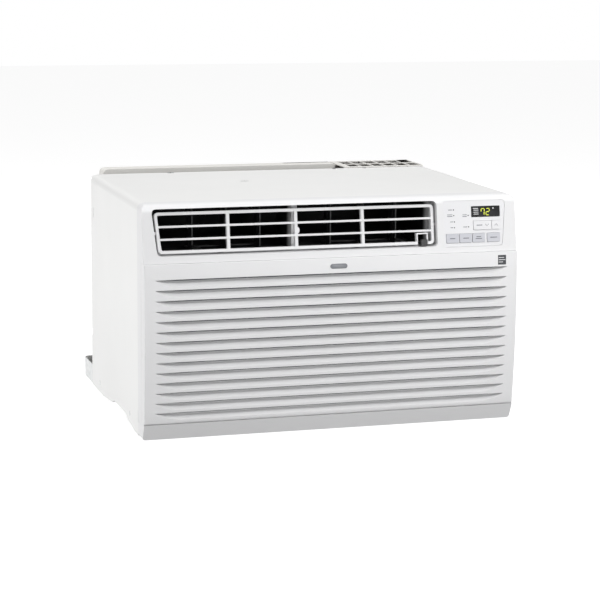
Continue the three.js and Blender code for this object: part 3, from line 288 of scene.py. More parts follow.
paints = {
    # powder coat on steel sheet: white, with the faint waviness called orange peel
    "whitePowderCoat": {"color": "e6e6e5", "shade": "e2e2e1", "rough": 0.36, "peel": 2.4, "bump": 0.07},
    "warmGreyPaint": {"color": "dddcd8", "shade": "d6d4d0", "rough": 0.46, "peel": 2.0, "bump": 0.08},
    "compressorBlackEnamel": {"color": "141517", "shade": "1d1e20", "rough": 0.3, "peel": 3.0, "bump": 0.1},
    # the vent screen's dark lacquer tone, partly painted shade of the bay under the vents
    "darkLacquerAndPaintedShade": {"color": "3c3833", "shade": "262320", "rough": 0.6, "peel": 1.6, "bump": 0.1},
    "boardGreenMask": {"color": "1d5b37", "shade": "174c2d", "rough": 0.35, "peel": 1.2, "bump": 0.05},
}


# Paint on metal: two near tones in soft patches, and an orange-peel bump at its real spacing.
def paintCoat(name):
    look = paints[name]
    material, tree, place = newMaterial(name)
    patch = addNode(tree, "ShaderNodeTexNoise", {"Scale": 1 / 0.12, "Detail": 3.0}, {"Vector": place})
    mix = addNode(tree, "ShaderNodeMix", {
        "data_type": "RGBA", 6: linearColor(look["color"]), 7: linearColor(look["shade"]),
    }, {0: patch.outputs[0]})
    peel = addNode(tree, "ShaderNodeTexNoise", {
        "Scale": 1 / (look["peel"] * mm), "Detail": 1.0}, {"Vector": place})
    bump = addNode(tree, "ShaderNodeBump", {"Strength": look["bump"], "Distance": 0.15 * mm}, {
        "Height": peel.outputs[0]})
    rough = addNode(tree, "ShaderNodeMapRange", {
        "To Min": look["rough"] - 0.05, "To Max": look["rough"] + 0.06}, {"Value": patch.outputs[0]})
    shader = addNode(tree, "ShaderNodeBsdfPrincipled", {"IOR": 1.5}, {
        "Base Color": mix.outputs[2], "Roughness": rough.outputs[0], "Normal": bump.outputs[0]})
    closeMaterial(tree, shader)
    return material


metals = {
    # zinc-coated sheet: pale crystals a few millimetres across, each with its own tone
    "galvanisedSheet": {"light": "e4e5e5", "dark": "d6d8d8", "rough": 0.5, "cell": 6.0, "metallic": 0.55},
    "finAluminium": {"light": "d3d7da", "dark": "b9bec2", "rough": 0.38, "cell": 3.0, "metallic": 0.95},
    "drawnCopper": {"light": "c9865c", "dark": "a9653c", "rough": 0.28, "cell": 14.0, "metallic": 1.0},
    "groundSteel": {"light": "b9bcbf", "dark": "9da1a5", "rough": 0.25, "cell": 2.0, "metallic": 1.0},
    "canAluminium": {"light": "cfd2d4", "dark": "bcc0c3", "rough": 0.3, "cell": 9.0, "metallic": 1.0},
    "platedScrew": {"light": "dcdddd", "dark": "c2c4c5", "rough": 0.3, "cell": 1.5, "metallic": 0.9},
}


# Bare metal: cells at the size of the coating's crystals choose between two tones and two polishes.
def bareMetal(name):
    look = metals[name]
    material, tree, place = newMaterial(name)
    cells = addNode(tree, "ShaderNodeTexVoronoi", {"Scale": 1 / (look["cell"] * mm)}, {"Vector": place})
    level = addNode(tree, "ShaderNodeSeparateColor", {}, {0: cells.outputs["Color"]})
    mix = addNode(tree, "ShaderNodeMix", {
        "data_type": "RGBA", 6: linearColor(look["light"]), 7: linearColor(look["dark"]),
    }, {0: level.outputs[0]})
    rough = addNode(tree, "ShaderNodeMapRange", {
        "To Min": look["rough"] - 0.06, "To Max": look["rough"] + 0.08}, {"Value": level.outputs[1]})
    shader = addNode(tree, "ShaderNodeBsdfPrincipled", {"Metallic": look["metallic"]}, {
        "Base Color": mix.outputs[2], "Roughness": rough.outputs[0]})
    closeMaterial(tree, shader)
    return material


# Expanded polystyrene, dyed dark: beads about 3 mm across pressed flat against the mould, with no gloss.
def beadFoam():
    look = {"color": "0d0d0e", "shade": "161617", "bead": 3.0, "rough": 0.95}
    material, tree, place = newMaterial("beadFoam")
    beads = addNode(tree, "ShaderNodeTexVoronoi", {"Scale": 1 / (look["bead"] * mm)}, {"Vector": place})
    mix = addNode(tree, "ShaderNodeMix", {
        "data_type": "RGBA", 6: linearColor(look["shade"]), 7: linearColor(look["color"]),
    }, {0: beads.outputs[0]})
    bump = addNode(tree, "ShaderNodeBump", {"Strength": 0.3, "Distance": 0.4 * mm, "invert": True}, {
        "Height": beads.outputs[0]})
    shader = addNode(tree, "ShaderNodeBsdfPrincipled", {"Roughness": look["rough"]}, {
        "Base Color": mix.outputs[2], "Normal": bump.outputs[0]})
    closeMaterial(tree, shader)
    return material


# The discharge duct: painted light, pale grey at the lit mouth where it meets the white louver, fading out to
# the foam's own dark between two stations along Y; its surface is broken up by the beads.
def ductMouthPaintedLight():
    look = {
        # pale grey painted light on the duct's mouth
        "mouthPaintedLight": "d2d2d3",
        "bare": "0e0e0f",
        "from": ductLow.y + 8 * mm,
        "to": ductLow.y + 30 * mm,
        "bead": 3.0,
    }
    material, tree, place = newMaterial("ductFoamPaintedLight")
    beads = addNode(tree, "ShaderNodeTexVoronoi", {"Scale": 1 / (look["bead"] * mm)}, {"Vector": place})
    station = addNode(tree, "ShaderNodeSeparateXYZ", {}, {0: place})
    # the painted light fades out between the two stations, as light falls off into the duct
    paintedFalloff = addNode(tree, "ShaderNodeMapRange", {
        "interpolation_type": "SMOOTHSTEP", "From Min": look["from"], "From Max": look["to"],
    }, {"Value": station.outputs[1]})
    mix = addNode(tree, "ShaderNodeMix", {
        "data_type": "RGBA", 6: linearColor(look["mouthPaintedLight"]), 7: linearColor(look["bare"]),
    }, {0: paintedFalloff.outputs[0]})
    bump = addNode(tree, "ShaderNodeBump", {"Strength": 0.15, "Distance": 0.3 * mm, "invert": True}, {
        "Height": beads.outputs[0]})
    shader = addNode(tree, "ShaderNodeBsdfPrincipled", {"Roughness": 0.8}, {
        "Base Color": mix.outputs[2], "Normal": bump.outputs[0]})
    closeMaterial(tree, shader)
    return material


# Nylon filter net: threads 1.4 mm apart both ways, raised where they run and dark between.
def filterNet():
    look = {"thread": "6f747a", "hole": "1a1c1e", "spacing": 1.4}
    material, tree, place = newMaterial("nylonFilterNet")
    waves = []
    for direction in ("X", "Z"):
        waves.append(addNode(tree, "ShaderNodeTexWave", {
            "bands_direction": direction, "Scale": 0.314 / (look["spacing"] * mm), "Distortion": 0.0,
        }, {"Vector": place}))
    top = addNode(tree, "ShaderNodeMath", {"operation": "MAXIMUM"}, {
        0: waves[0].outputs["Fac"], 1: waves[1].outputs["Fac"]})
    mix = addNode(tree, "ShaderNodeMix", {
        "data_type": "RGBA", 6: linearColor(look["hole"]), 7: linearColor(look["thread"]),
    }, {0: top.outputs[0]})
    bump = addNode(tree, "ShaderNodeBump", {
        "Strength": 0.4, "Distance": 0.3 * mm}, {"Height": top.outputs[0]})
    shader = addNode(tree, "ShaderNodeBsdfPrincipled", {"Roughness": 0.7}, {
        "Base Color": mix.outputs[2], "Normal": bump.outputs[0]})
    closeMaterial(tree, shader)
    return material


# Smoked acrylic window: near black and glossy, with the faintest haze of fingerprints in its polish.
def smokedAcrylic():
    look = {"color": "141517", "rough": 0.12, "haze": 14.0}
    material, tree, place = newMaterial("smokedAcrylic")
    haze = addNode(tree, "ShaderNodeTexNoise", {
        "Scale": 1 / (look["haze"] * mm), "Detail": 3.0}, {"Vector": place})
    rough = addNode(tree, "ShaderNodeMapRange", {
        "To Min": look["rough"], "To Max": look["rough"] + 0.14}, {"Value": haze.outputs[0]})
    shader = addNode(tree, "ShaderNodeBsdfPrincipled", {
        "Base Color": linearColor(look["color"]), "IOR": 1.49, "Specular IOR Level": 0.25,
    }, {"Roughness": rough.outputs[0]})
    closeMaterial(tree, shader)
    return material


lamps = {
    "litSegment": {"color": "d3dc3c", "shade": "a3a72a", "glow": 0.8},  # light-emitting segments, yellow-green
    "litLegend": {"color": "d9dadb", "shade": "a9aaab", "glow": 0.35},  # dim white marks behind the same window
}


# A lit mark: its colour glows a little unevenly, as a diffuser over a small lamp does.
def litMark(name):
    look = lamps[name]
    material, tree, place = newMaterial(name)
    patch = addNode(tree, "ShaderNodeTexNoise", {"Scale": 1 / (3 * mm), "Detail": 1.0}, {"Vector": place})
    mix = addNode(tree, "ShaderNodeMix", {
        "data_type": "RGBA", 6: linearColor(look["color"]), 7: linearColor(look["shade"]),
    }, {0: patch.outputs[0]})
    shader = addNode(tree, "ShaderNodeBsdfPrincipled", {
        "Emission Strength": look["glow"], "Roughness": 0.4,
    }, {"Base Color": mix.outputs[2], "Emission Color": mix.outputs[2]})
    closeMaterial(tree, shader)
    return material


looks = {name: mouldedPlastic(name) for name in plastics}
looks.update({name: paintCoat(name) for name in paints})
looks.update({name: bareMetal(name) for name in metals})
looks.update({name: litMark(name) for name in lamps})
looks.update({"beadFoam": beadFoam(), "filterNet": filterNet(), "smokedAcrylic": smokedAcrylic()})
looks["ductMouthPaintedLight"] = ductMouthPaintedLight()
print("stage: materials made,", len(looks))


# ---- inlet grille ----
grille = {
    "firstLip": 24 * mm,  # below the seam
    "pitch": 16.05 * mm,
    "count": 14,
    "scoopHeight": 11.6 * mm,
    "scoopDepth": 8.8 * mm,
    "slot": 2.8 * mm,  # the open slit between a lip and the cove below it
    "tip": grilleHigh.x - 16.8 * mm,  # half the length of a louvre
    "sweep": 42 * mm,  # how far the lower edge takes to rise to the tip
    "lipRadius": 0.6 * mm,
    "underside": 5.2 * mm,
    "sideRadius": 1.6 * mm,
    "seamRadius": 1.0 * mm,
    "footRadius": 3.5 * mm,
    "wall": 1.7 * mm,
}


# How open a louvre is at each x: 1 in the middle, falling to 0 at the tip as 1 - (1 - q)^1.7, q being the
# distance to the tip over the sweep.
def openness(x):
    q = np.clip((grille["tip"] - np.abs(x)) / grille["sweep"], 0, 1)
    return 1 - (1 - q) ** 1.7


# Stations across the width: back along the left return, round its edge, over the face, and back on the right.
def acrossStations():
    half, r = unit["half"], grille["sideRadius"]
    back = grilleHigh.y - grilleLow.y
    turn = np.radians(np.linspace(0, 90, 6))
    sideDepth = np.concatenate([np.linspace(back, r, 6)[:-1], r - r * np.sin(turn)])
    sideX = np.concatenate([np.full(5, -half), -half + r - r * np.cos(turn)])
    tip, sweep = grille["tip"], grille["sweep"]
    fine = -tip + sweep * np.linspace(0, 1, 19) ** 1.25
    left = np.concatenate([np.linspace(-half + r, -tip, 5)[1:-1], fine])
    middle = np.linspace(-tip + sweep, tip - sweep, 22)[1:-1]
    x = np.concatenate([sideX, left, middle, -left[::-1], -sideX[::-1]])
    depth = np.concatenate([sideDepth, np.zeros(2 * len(left) + len(middle)), sideDepth[::-1]])
    return x, depth


# One strip of the grille's skin, as rows of (height, depth behind the face) that both depend on x.
# A slat runs from the back of its cove, forward to the flush band, down to the next lip and back beneath it.
def slatRows(lipAbove, lipBelow, k):
    rows = []
    deep = k ** 0.45
    if lipAbove is not None:
        head = lipAbove - grille["slot"] * k
        rows.append((head - 0.6 * mm * k, (grille["scoopDepth"] + 2.4 * mm) * deep))
        run = grille["scoopHeight"] - grille["slot"]
        for s in np.linspace(0, 1, 11):
            depth = grille["scoopDepth"] * (1 - s ** 1.4)
            rows.append((head - run * s * k, depth * deep))
        rows.append((lipAbove - grille["scoopHeight"] * k - 0.8 * mm, 0 * k))
    if lipBelow is not None:
        r = grille["lipRadius"]
        rows.append((lipBelow + r * k + 0.8 * mm, 0 * k))
        for angle in np.radians((0, 30, 60, 90)):
            rows.append((lipBelow + (r - r * math.sin(angle)) * k, (r - r * math.cos(angle)) * deep))
        rows.append((lipBelow + 0.5 * mm * k, grille["underside"] * deep))
    return rows


# Rows for the top edge (round the seam radius) or the foot, which come before and after the slats.
def edgeRows(level, radius, sign, back):
    rows = [(level + 0 * acrossX, back - 0 * acrossX)]
    for angle in np.radians(np.linspace(90, 0, 5)):
        height = level - sign * (radius - radius * math.sin(angle))
        rows.append((height + 0 * acrossX, radius - radius * math.cos(angle) + 0 * acrossX))
    return rows


acrossX, acrossDepth = acrossStations()


def grilleStrip(rows):
    z = np.array([row[0] for row in rows])
    depth = np.array([row[1] for row in rows])
    depth = np.maximum(depth, acrossDepth[None, :])
    y = np.minimum(faceY(z) + depth, grilleHigh.y)
    points = np.stack([np.broadcast_to(acrossX, z.shape), y, z], axis=-1)
    return points.reshape(-1, 3), [side[::-1] for side in gridFaces(len(rows), len(acrossX))]


def lipHeight(i):
    return unit["seam"] - grille["firstLip"] - i * grille["pitch"]


def buildGrille():
    k = openness(acrossX)
    back = grilleHigh.y - grilleLow.y
    strips = []
    edge = edgeRows(unit["seam"], grille["seamRadius"], 1, back)
    strips.append(grilleStrip(edge + slatRows(None, lipHeight(0), k)))
    for i in range(grille["count"] - 1):
        strips.append(grilleStrip(slatRows(lipHeight(i), lipHeight(i + 1), k)))
    foot = edgeRows(unit["foot"], grille["footRadius"], -1, back)
    strips.append(grilleStrip(slatRows(lipHeight(grille["count"] - 1), None, k) + foot[1:][::-1] + foot[:1]))
    piece = makePiece("inlet_grille_face", strips, sharp=38, turnOut=False)
    wall = piece.modifiers.new("wall", "SOLIDIFY")
    wall.thickness = grille["wall"]
    wall.offset = -1
    return dress(piece, "grille", looks["mouldedWhiteAbs"], ["inlet_grille"])


buildGrille()
print("stage: inlet grille")

# ---- shells that keep the CAD shape with eased edges ----
shells = {
    "front_frame": (0.7, "mouldedWhiteAbs", "white_plastic"),
    "louver_frame": (0.8, "mouldedWhiteAbs", "white_plastic"),
    "cabinet_wrapper": (0.4, "whitePowderCoat", "white_paint"),
    "base_pan": (0.4, "galvanisedSheet", "galvanised"),
    "control_panel": (0.4, "mouldedPlateAbs", "white_plastic"),
    "button_mode": (0.4, "greyKeyAbs", "grey_plastic"),
    "button_timer": (0.4, "greyKeyAbs", "grey_plastic"),
    "button_fan_speed": (0.4, "greyKeyAbs", "grey_plastic"),
    "button_power": (0.4, "greyKeyAbs", "grey_plastic"),
    "button_temp_down": (0.4, "whiteKeyAbs", "white_plastic"),
    "button_temp_up": (0.4, "whiteKeyAbs", "white_plastic"),
    "display_window": (0.2, "smokedAcrylic", "display_lens"),
    "condenser_shroud": (0.5, "warmGreyPaint", "warm_paint"),
    "rear_vent_panel": (0.5, "warmGreyPaint", "warm_paint"),
    "vent_lever": (0.4, "blackAbs", "black_plastic"),
    "compressor": (1.0, "compressorBlackEnamel", "black_paint"),
}
for node, (edge, look, slotName) in shells.items():
    easedCopy(node, edge * mm, looks[look])
print("stage: shells eased,", len(shells))

# ---- CAD nodes whose shape is right ----
kept = {
    # the outlet duct's material paints light on its mouth and shade deeper in
    "filter_frame": "filterGreyPp", "filter_mesh": "filterNet", "outlet_duct": "ductMouthPaintedLight",
    "control_board": "boardGreenMask", "vent_door": "blackAbs", "bulkhead": "galvanisedSheet",
    "blower_housing": "beadFoam", "blower_orifice": "filterGreyPp", "blower_wheel": "fanBlackPp",
    "fan_motor": "compressorBlackEnamel", "motor_bracket": "galvanisedSheet", "fan_shaft": "groundSteel",
    "condenser_fan": "fanBlackPp", "condenser_coil": "finAluminium", "evaporator_coil": "finAluminium",
    "drain_tray": "beadFoam", "accumulator": "compressorBlackEnamel", "terminal_cover": "blackAbs",
    "suction_pipe": "drawnCopper", "discharge_pipe": "drawnCopper", "liquid_line": "drawnCopper",
    "filter_dryer": "drawnCopper", "capillary_tube": "drawnCopper", "control_box": "galvanisedSheet",
    "run_capacitor": "canAluminium", "cord_gland": "blackRubber", "drain_plug": "blackRubber",
    "evaporator_sensor": "drawnCopper", "vane_link_left": "blackAbs", "vane_link_right": "blackAbs",
}
kept.update({f"vane_{side}_{i}": "blackAbs" for side in ("left", "right") for i in (1, 2, 3)})
kept.update({f"compressor_grommet_{i}": "blackRubber" for i in (1, 2, 3)})
kept.update({f"cabinet_screw_{side}_{i}": "platedScrew" for side in ("left", "right") for i in (1, 2)})
for node, look in kept.items():
    slots = nodes[node].data.materials
    slots.clear()
    slots.append(looks[look])
print("stage: CAD nodes finished,", len(kept))

# ---- marks on the control panel: plain dashes, dots, chevrons and two digits ----
panelMarks = {
    "ink": 0.12 * mm,  # how proud a printed mark stands
    "sunk": 0.05 * mm,  # how far its back is let into the plate
    "edge": 0.04 * mm,
    "plateDepth": 0.8 * mm,
    "keyDepth": -0.4 * mm,
    "windowDepth": 0.6 * mm,
}


def mark(x0, x1, v0, v1, depth, radius):
    ink = panelMarks["ink"]
    span = (x0 * mm, x1 * mm, v0 * mm, v1 * mm)
    return softPlate(span, radius * mm, depth - ink, depth + panelMarks["sunk"], panelMarks["edge"])


def buildMarks(name, body, material, marks):
    piece = makePiece(name, [mark(*entry) for entry in marks])
    return dress(piece, body, material)


def buildIndicators():
    plate = panelMarks["plateDepth"]
    dots = [(200.1, 68.3), (200.3, 59.3), (201.0, 49.3), (200.8, 40.1), (224.7, 58.7), (224.8, 40.7)]
    buildMarks("indicator_dots", "cabinet", looks["labelCharcoalInk"], [
        (x - 1.0, x + 1.0, v - 1.0, v + 1.0, plate, 0.95) for x, v in dots])
    dashes = []
    for (x, v), (width, lines) in zip(dots, ((7, 1), (9, 2), (5, 1), (4.5, 1), (7.5, 2), (7, 1))):
        for line in range(lines):
            level = v + (line - (lines - 1) / 2) * 2.6
            dashes.append((x - 2.2 - width, x - 2.2, level - 0.55, level + 0.55, plate, 0.5))
    buildMarks("indicator_dashes", "cabinet", looks["markGreyInk"], dashes)


def buildKeyMarks():
    keys = {
        "key_mode": [(192.0, 201.0, 22.2, 23.6)], "key_timer": [(214.5, 224.5, 22.2, 23.6)],
        "key_fan_speed": [(237.0, 245.0, 24.0, 25.3), (235.5, 246.5, 21.0, 22.3)],
        "key_power": [(260.5, 272.5, 22.2, 23.6)], "key_temp_down": [(238.0, 248.0, 42.2, 43.5)],
    }
    for body, bars in keys.items():
        buildMarks(body + "_dash", body, looks["markGreyInk"], [
            (*bar, panelMarks["keyDepth"], 0.6) for bar in bars])


# A chevron: a thin tube through three points on the panel, half sunk in its key.
def buildChevrons():
    for body, x, sign in (("key_temp_down", 255.8, -1), ("key_temp_up", 271.5, 1)):
        depth = panelMarks["keyDepth"]
        run = np.array([[-2.8, 0], [-1.4, 1.5], [0, 3.0], [1.4, 1.5], [2.8, 0]])
        path = np.stack([
            (x + run[:, 0]) * mm, np.full(5, depth), (42.8 + sign * (run[:, 1] - 1.5)) * mm], axis=-1)
        piece = makePiece(body + "_chevron", [tubeAlong(onPanel(path), 0.35 * mm, 8)])
        dress(piece, body, looks["markGreyInk"])


# Seven-segment digits: each lit segment is a flat bar with pointed ends, sheared a little to the right.
segments = {
    "a": ((0, 2), (1, 2)), "b": ((1, 2), (1, 1)), "c": ((1, 1), (1, 0)), "d": ((0, 0), (1, 0)),
    "e": ((0, 1), (0, 0)), "f": ((0, 2), (0, 1)), "g": ((0, 1), (1, 1)),
}
digits = {"7": "abcf", "2": "abged"}


def segmentBar(start, end, left, foot, width, height, stroke, depth):
    p, q = (np.array([left + u * width, foot + v * height / 2]) for u, v in (start, end))
    along = (q - p) / np.linalg.norm(q - p)
    across = np.array([-along[1], along[0]]) * stroke / 2
    p, q = p + along * stroke * 0.25, q - along * stroke * 0.25
    tip = along * stroke / 2
    ring = np.array([p, p + tip + across, q - tip + across, q, q - tip - across, p + tip - across])
    ring[:, 0] += (ring[:, 1] - foot) * 0.08
    front, back = depth - 0.1, depth + 0.05
    points = [[u, front, v] for u, v in ring] + [[u, back, v] for u, v in ring]
    faces = gridFaces(2, 6, wrap=True) + [[5, 4, 3, 2, 1, 0], [6, 7, 8, 9, 10, 11]]
    return onPanel(np.array(points) * mm), faces


def buildDisplay():
    depth = panelMarks["windowDepth"] / mm
    lit = []
    for left, digit in ((246.4, "7"), (255.0, "2")):
        for part in digits[digit]:
            lit.append(segmentBar(*segments[part], left, 58.8, 5.4, 10.2, 1.15, depth))
    dress(makePiece("display_digits", lit), "cabinet", looks["litSegment"])
    window = panelMarks["windowDepth"]
    legend = [(234.0, 242.5, level - 0.5, level + 0.5, window, 0.4) for level in (60.6, 63.6, 66.8)]
    legend += [(233.0, 242.0, 69.0, 70.0, window, 0.4), (266.4, 268.6, 68.2, 70.4, window, 1.0)]
    buildMarks("display_legend", "cabinet", looks["litLegend"], legend)


buildIndicators()
buildKeyMarks()
buildChevrons()
buildDisplay()
print("stage: control panel marks")


# ---- badge and label on the grille's top band: plain plates on the bowed face ----
def onFace(points):
    x, depth, z = points[..., 0], points[..., 1], points[..., 2]
    return np.stack([x, faceY(z) + depth, z], axis=-1)


badge = {"left": -9 * mm, "right": 19 * mm, "foot": 260.5 * mm, "head": 268 * mm, "proud": 0.9 * mm}
label = {"left": 271.7 * mm, "right": 285.5 * mm, "foot": 256 * mm, "head": 271.5 * mm, "proud": 0.12 * mm}


def buildBadge():
    span = (badge["left"], badge["right"], badge["foot"], badge["head"])
    plate = softPlate(span, 3.7 * mm, -badge["proud"], 0.3 * mm, 0.5 * mm, onFace)
    dress(makePiece("plain_badge", [plate]), "grille", looks["badgeGreyAbs"])


def buildLabel():
    span = (label["left"], label["right"], label["foot"], label["head"])
    plate = softPlate(span, 0.6 * mm, -label["proud"], 0.3 * mm, 0.05 * mm, onFace)
    dress(makePiece("plain_label", [plate]), "grille", looks["labelCharcoalInk"])
    bars = []
    for i, width in enumerate((9.5, 11.5, 7.5)):
        z = label["head"] - (4 + i * 3.6) * mm
        x = label["left"] + 1.2 * mm
        bars.append(softPlate((x, x + width * mm, z - 0.5 * mm, z + 0.5 * mm), 0.4 * mm,
                              -label["proud"] - 0.06 * mm, 0, 0.03 * mm, onFace))
    dress(makePiece("plain_label_bars", bars), "grille", looks["whiteKeyAbs"])


buildBadge()
buildLabel()
print("stage: badge and label")


# ---- fins, screen and small details on the cabinet ----
fins = {
    "pitch": 2.6 * mm,  # real ones stand closer, too fine to show, so these are drawn coarser
    "thick": 0.5 * mm,
    "proud": 0.7 * mm,
    "waves": 9,  # each fin's edge ripples where it passes a tube
}


# The flat finned block inside a coil node: the corners of the vertices that lie on its rearmost plane.
def blockOf(node):
    mesh = nodes[node].data
    points = np.empty(len(mesh.vertices) * 3)
    mesh.vertices.foreach_get("co", points)
    points = points.reshape(-1, 3)
    back = points[points[:, 1] > points[:, 1].max() - 0.05 * mm]
    front = points[points[:, 1] < points[:, 1].min() + 0.05 * mm]
    return back.min(axis=0), back.max(axis=0), front[0, 1]


# Fins stand across both faces of the block: thin plates whose outer edge ripples as
# proud * (0.8 + 0.2 cos(2 pi waves t)), t running up the fin.
def buildFins(node, name):
    low, high, front = blockOf(node)
    count = int((high[0] - low[0] - 2 * mm) / fins["pitch"])
    t = np.linspace(0, 1, fins["waves"] * 4 + 1)
    z = low[2] + 1 * mm + (high[2] - low[2] - 2 * mm) * t
    reach = fins["proud"] * (0.8 + 0.2 * np.cos(2 * np.pi * fins["waves"] * t))
    parts = []
    for plane, sign in ((high[1], 1), (front, -1)):
        root = np.full(len(t), plane - sign * 0.2 * mm)
        tip = plane + sign * reach
        for i in range(count):
            x = low[0] + 1.4 * mm + i * fins["pitch"]
            x0, x1 = np.full(len(t), x), np.full(len(t), x + fins["thick"])
            ring = [(x0, root), (x0, tip), (x1, tip), (x1, root)]
            points = np.stack([np.stack([a, b, z], axis=-1) for a, b in ring], axis=1).reshape(-1, 3)
            faces = gridFaces(len(t), 4, wrap=True) + [[3, 2, 1, 0], [len(points) - 4 + j for j in range(4)]]
            parts.append((points, faces))
    dress(makePiece(name, parts, sharp=50), "cabinet", looks["finAluminium"])


buildFins("condenser_coil", "condenser_fins")
buildFins("evaporator_coil", "evaporator_fins")

topDetails = {
    "dimple": {"x": -72.5 * mm, "y": 23 * mm, "long": 7.5 * mm, "wide": 3.0 * mm, "rise": 0.5 * mm},
    "screws": [(-169 * mm, 164 * mm), (-163 * mm, 165.5 * mm), (129 * mm, 164 * mm), (185.5 * mm, 164 * mm)],
    "screwRadius": 3.4 * mm,
    "screwRise": 1.5 * mm,
}


# A low oval bead: a grid of rings, each lifted by rise * (1 - r^2)^0.6, r being the share of the way out.
def bead(x, y, foot, long, wide, rise, rings=7, sides=28):
    turn = np.linspace(0, 2 * np.pi, sides, endpoint=False)
    r, a = np.meshgrid(np.linspace(0.04, 1, rings), turn, indexing="ij")
    z = foot + rise * (1 - r ** 2) ** 0.6
    points = np.stack([x + long * r * np.cos(a), y + wide * r * np.sin(a), z], axis=-1).reshape(-1, 3)
    return points, gridFaces(rings, sides, wrap=True) + [list(range(sides))[::-1], [
        sides * (rings - 1) + i for i in range(sides)]]


def buildTopDetails():
    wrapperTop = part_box("cabinet_wrapper")[1].z
    d = topDetails["dimple"]
    oval = bead(d["x"], d["y"], wrapperTop - 0.05 * mm, d["long"], d["wide"], d["rise"])
    dress(makePiece("top_dimple", [oval]), "cabinet", looks["platedScrew"])
    heads = [bead(x, y, wrapperTop - 0.05 * mm, topDetails["screwRadius"], topDetails["screwRadius"],
                  topDetails["screwRise"], 9) for x, y in topDetails["screws"]]
    dress(makePiece("top_screws", heads), "cabinet", looks["platedScrew"])


# A dark screen close under the vent openings, a sheet pressed into ripples along X: partly the brownish
# lacquered fins seen below, partly painted shade for the dark bay beneath.
def buildVentScreen():
    low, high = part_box("rear_vent_panel")
    level, ripple, pitch = high.z - 3.4 * mm, 0.5 * mm, 5 * mm
    x = np.arange(low.x + 13 * mm, high.x - 3 * mm, pitch / 6)
    y = np.linspace(low.y + 1 * mm, high.y - 3 * mm, 3)
    gx, gy = np.meshgrid(x, y, indexing="ij")
    z = level + ripple * np.sin(2 * np.pi * gx / pitch)
    points = np.stack([gx, gy, z], axis=-1).reshape(-1, 3)
    screen = makePiece("vent_screen_painted_shade", [(points, gridFaces(len(x), len(y)))], turnOut=True)
    sheet = screen.modifiers.new("gauge", "SOLIDIFY")
    sheet.thickness = 0.6 * mm
    # its dark colour is partly painted shade for the bay beneath the vents
    dress(screen, "cabinet", looks["darkLacquerAndPaintedShade"])


# The rear shroud's top edge carries a folded flange, drawn as a mid-grey strip beside the vent panel: painted
# shade standing in for the dark shadow lines along its fold.
def buildShroudFlange():
    low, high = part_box("condenser_shroud")
    strip = softPlate(
        (61 * mm, high.x - 2 * mm, high.y - 9 * mm, high.y - 2 * mm), 1 * mm, 0.0, 1.2 * mm, 0.2 * mm,
        lambda p: np.stack([p[..., 0], p[..., 2], high.z - p[..., 1]], axis=-1))
    # the strip's grey is painted shade, darker than the shroud's own paint
    dress(makePiece("shroud_flange_painted_shade", [strip]), "cabinet", looks["filterGreyPp"])


# A finger bump on the louver's middle upright: half of a flattened ball turned to the right.
def buildFingerBump():
    a, b = np.meshgrid(np.linspace(0, np.pi, 9), np.linspace(0, 2 * np.pi, 20, endpoint=False), indexing="ij")
    x = -56.5 + 4.2 * np.sin(a) * np.cos(b)
    depth = 11.8 + 2.6 * np.sin(a) * np.sin(b)
    up = 45 + 5.5 * np.cos(a)
    points = onPanel(np.stack([x, depth, up], axis=-1) * mm).reshape(-1, 3)
    dress(makePiece("louver_finger_bump", [(points, gridFaces(9, 20, wrap=True))]),
          "louver", looks["mouldedWhiteAbs"])


buildTopDetails()
buildVentScreen()
buildShroudFlange()
buildFingerBump()
print("stage: fins, screen and small details")


# ---- stage: floor, camera and lights ----
def buildFloor():
    look = {"size": 14.0, "color": "a3a3a3", "glow": 0.8}
    side = np.linspace(-look["size"] / 2, look["size"] / 2, 9)
    x, y = np.meshgrid(side, side + 2.0, indexing="ij")
    points = np.stack([x, y, 0 * x - 0.3 * mm], axis=-1).reshape(-1, 3)
    floor = makePiece("studio_floor", [(points, gridFaces(9, 9))])
    material, tree, place = newMaterial("lightTableAcrylic")
    fibre = addNode(tree, "ShaderNodeTexNoise", {"Scale": 1 / 0.4, "Detail": 2.0}, {"Vector": place})
    mix = addNode(tree, "ShaderNodeMix", {
        "data_type": "RGBA", 6: linearColor(look["color"]), 7: linearColor("a6a6a6")}, {0: fibre.outputs[0]})
    closeMaterial(tree, addNode(tree, "ShaderNodeBsdfPrincipled", {
        "Roughness": 0.9, "Emission Color": (1, 1, 1, 1), "Emission Strength": look["glow"],
    }, {"Base Color": mix.outputs[2]}))
    floor.data.materials.append(material)
    floor.visible_diffuse = False


camera = {
    "place": (-0.9302, -3.1577, 0.7612),
    "turn": 16.736,  # degrees, to the right
    "dip": 10.253,  # degrees, downwards
    "roll": 0.472,
    "lens": 118.87,
}


def buildCamera():
    data = bpy.data.cameras.new("studioCamera")
    data.lens = camera["lens"]
    data.sensor_width = 36
    eye = bpy.data.objects.new("studioCamera", data)
    bpy.context.scene.collection.objects.link(eye)
    eye.matrix_world = (
        Matrix.Translation(camera["place"])
        @ Matrix.Rotation(math.radians(-camera["turn"]), 4, "Z")
        @ Matrix.Rotation(math.radians(90 - camera["dip"]), 4, "X")
        @ Matrix.Rotation(math.radians(camera["roll"]), 4, "Z"))
    bpy.context.scene.camera = eye


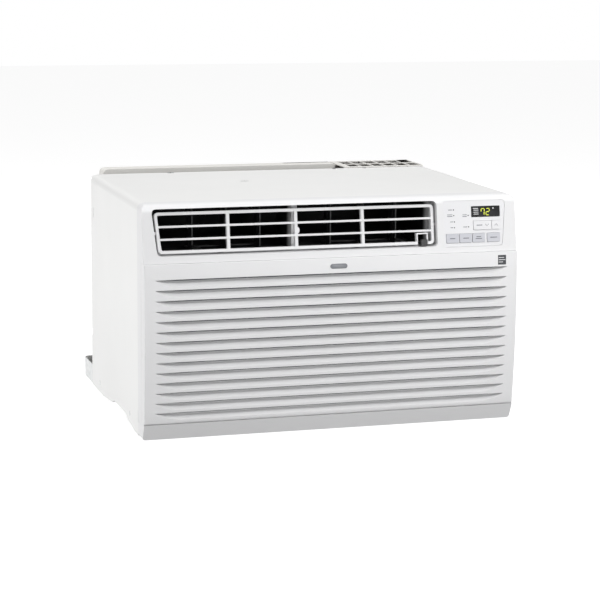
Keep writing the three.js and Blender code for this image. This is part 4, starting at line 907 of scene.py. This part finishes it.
lights = {
    "keySoftbox": {"place": (1.1, -2.2, 2.5), "aim": (0.1, -0.2, 0.2), "size": 1.3, "power": 57},
    "overheadSoftbox": {"place": (0.0, 0.3, 2.6), "aim": (0.0, 0.0, 0.2), "size": 2.6, "power": 34},
    "leftSoftbox": {"place": (-2.8, -0.2, 0.4), "aim": (0.0, 0.0, 0.25), "size": 1.6, "power": 56},
    "rearSoftbox": {"place": (0.6, 3.0, 0.7), "aim": (0.0, 0.2, 0.25), "size": 1.6, "power": 44},
    "fillSoftbox": {"place": (0.9, -2.4, 0.25), "aim": (0.0, -0.2, 0.1), "size": 0.8, "power": 16},
}


hiddenGlints = ("overheadSoftbox", "rearSoftbox")  # no mirror image of these, so the flat top keeps its tone
studio = {"lit": 0.36, "seen": 1.0}  # the world's strength as a light, and as the camera sees it


def buildLights():
    for name, look in lights.items():
        data = bpy.data.lights.new(name, "AREA")
        data.size = look["size"]
        data.energy = look["power"]
        lamp = bpy.data.objects.new(name, data)
        lamp.visible_glossy = name not in hiddenGlints
        bpy.context.scene.collection.objects.link(lamp)
        place, aim = np.array(look["place"]), np.array(look["aim"])
        away = place - aim
        flat = math.hypot(away[0], away[1])
        lamp.matrix_world = (
            Matrix.Translation(look["place"])
            @ Matrix.Rotation(math.atan2(away[0], -away[1]), 4, "Z")
            @ Matrix.Rotation(math.atan2(flat, away[2]), 4, "X"))
    world = bpy.data.worlds.new("paleStudio")
    bpy.context.scene.world = world
    world.use_nodes = True
    backdrop = world.node_tree.nodes["Background"]
    backdrop.inputs["Color"].default_value = (1, 1, 1, 1)
    seen = addNode(world.node_tree, "ShaderNodeLightPath").outputs["Is Camera Ray"]
    strength = addNode(world.node_tree, "ShaderNodeMapRange", {
        "To Min": studio["lit"], "To Max": studio["seen"]}, {"Value": seen})
    world.node_tree.links.new(strength.outputs[0], backdrop.inputs["Strength"])


buildFloor()
buildCamera()
buildLights()
bpy.context.scene.view_settings.view_transform = "Standard"
print("stage: studio")
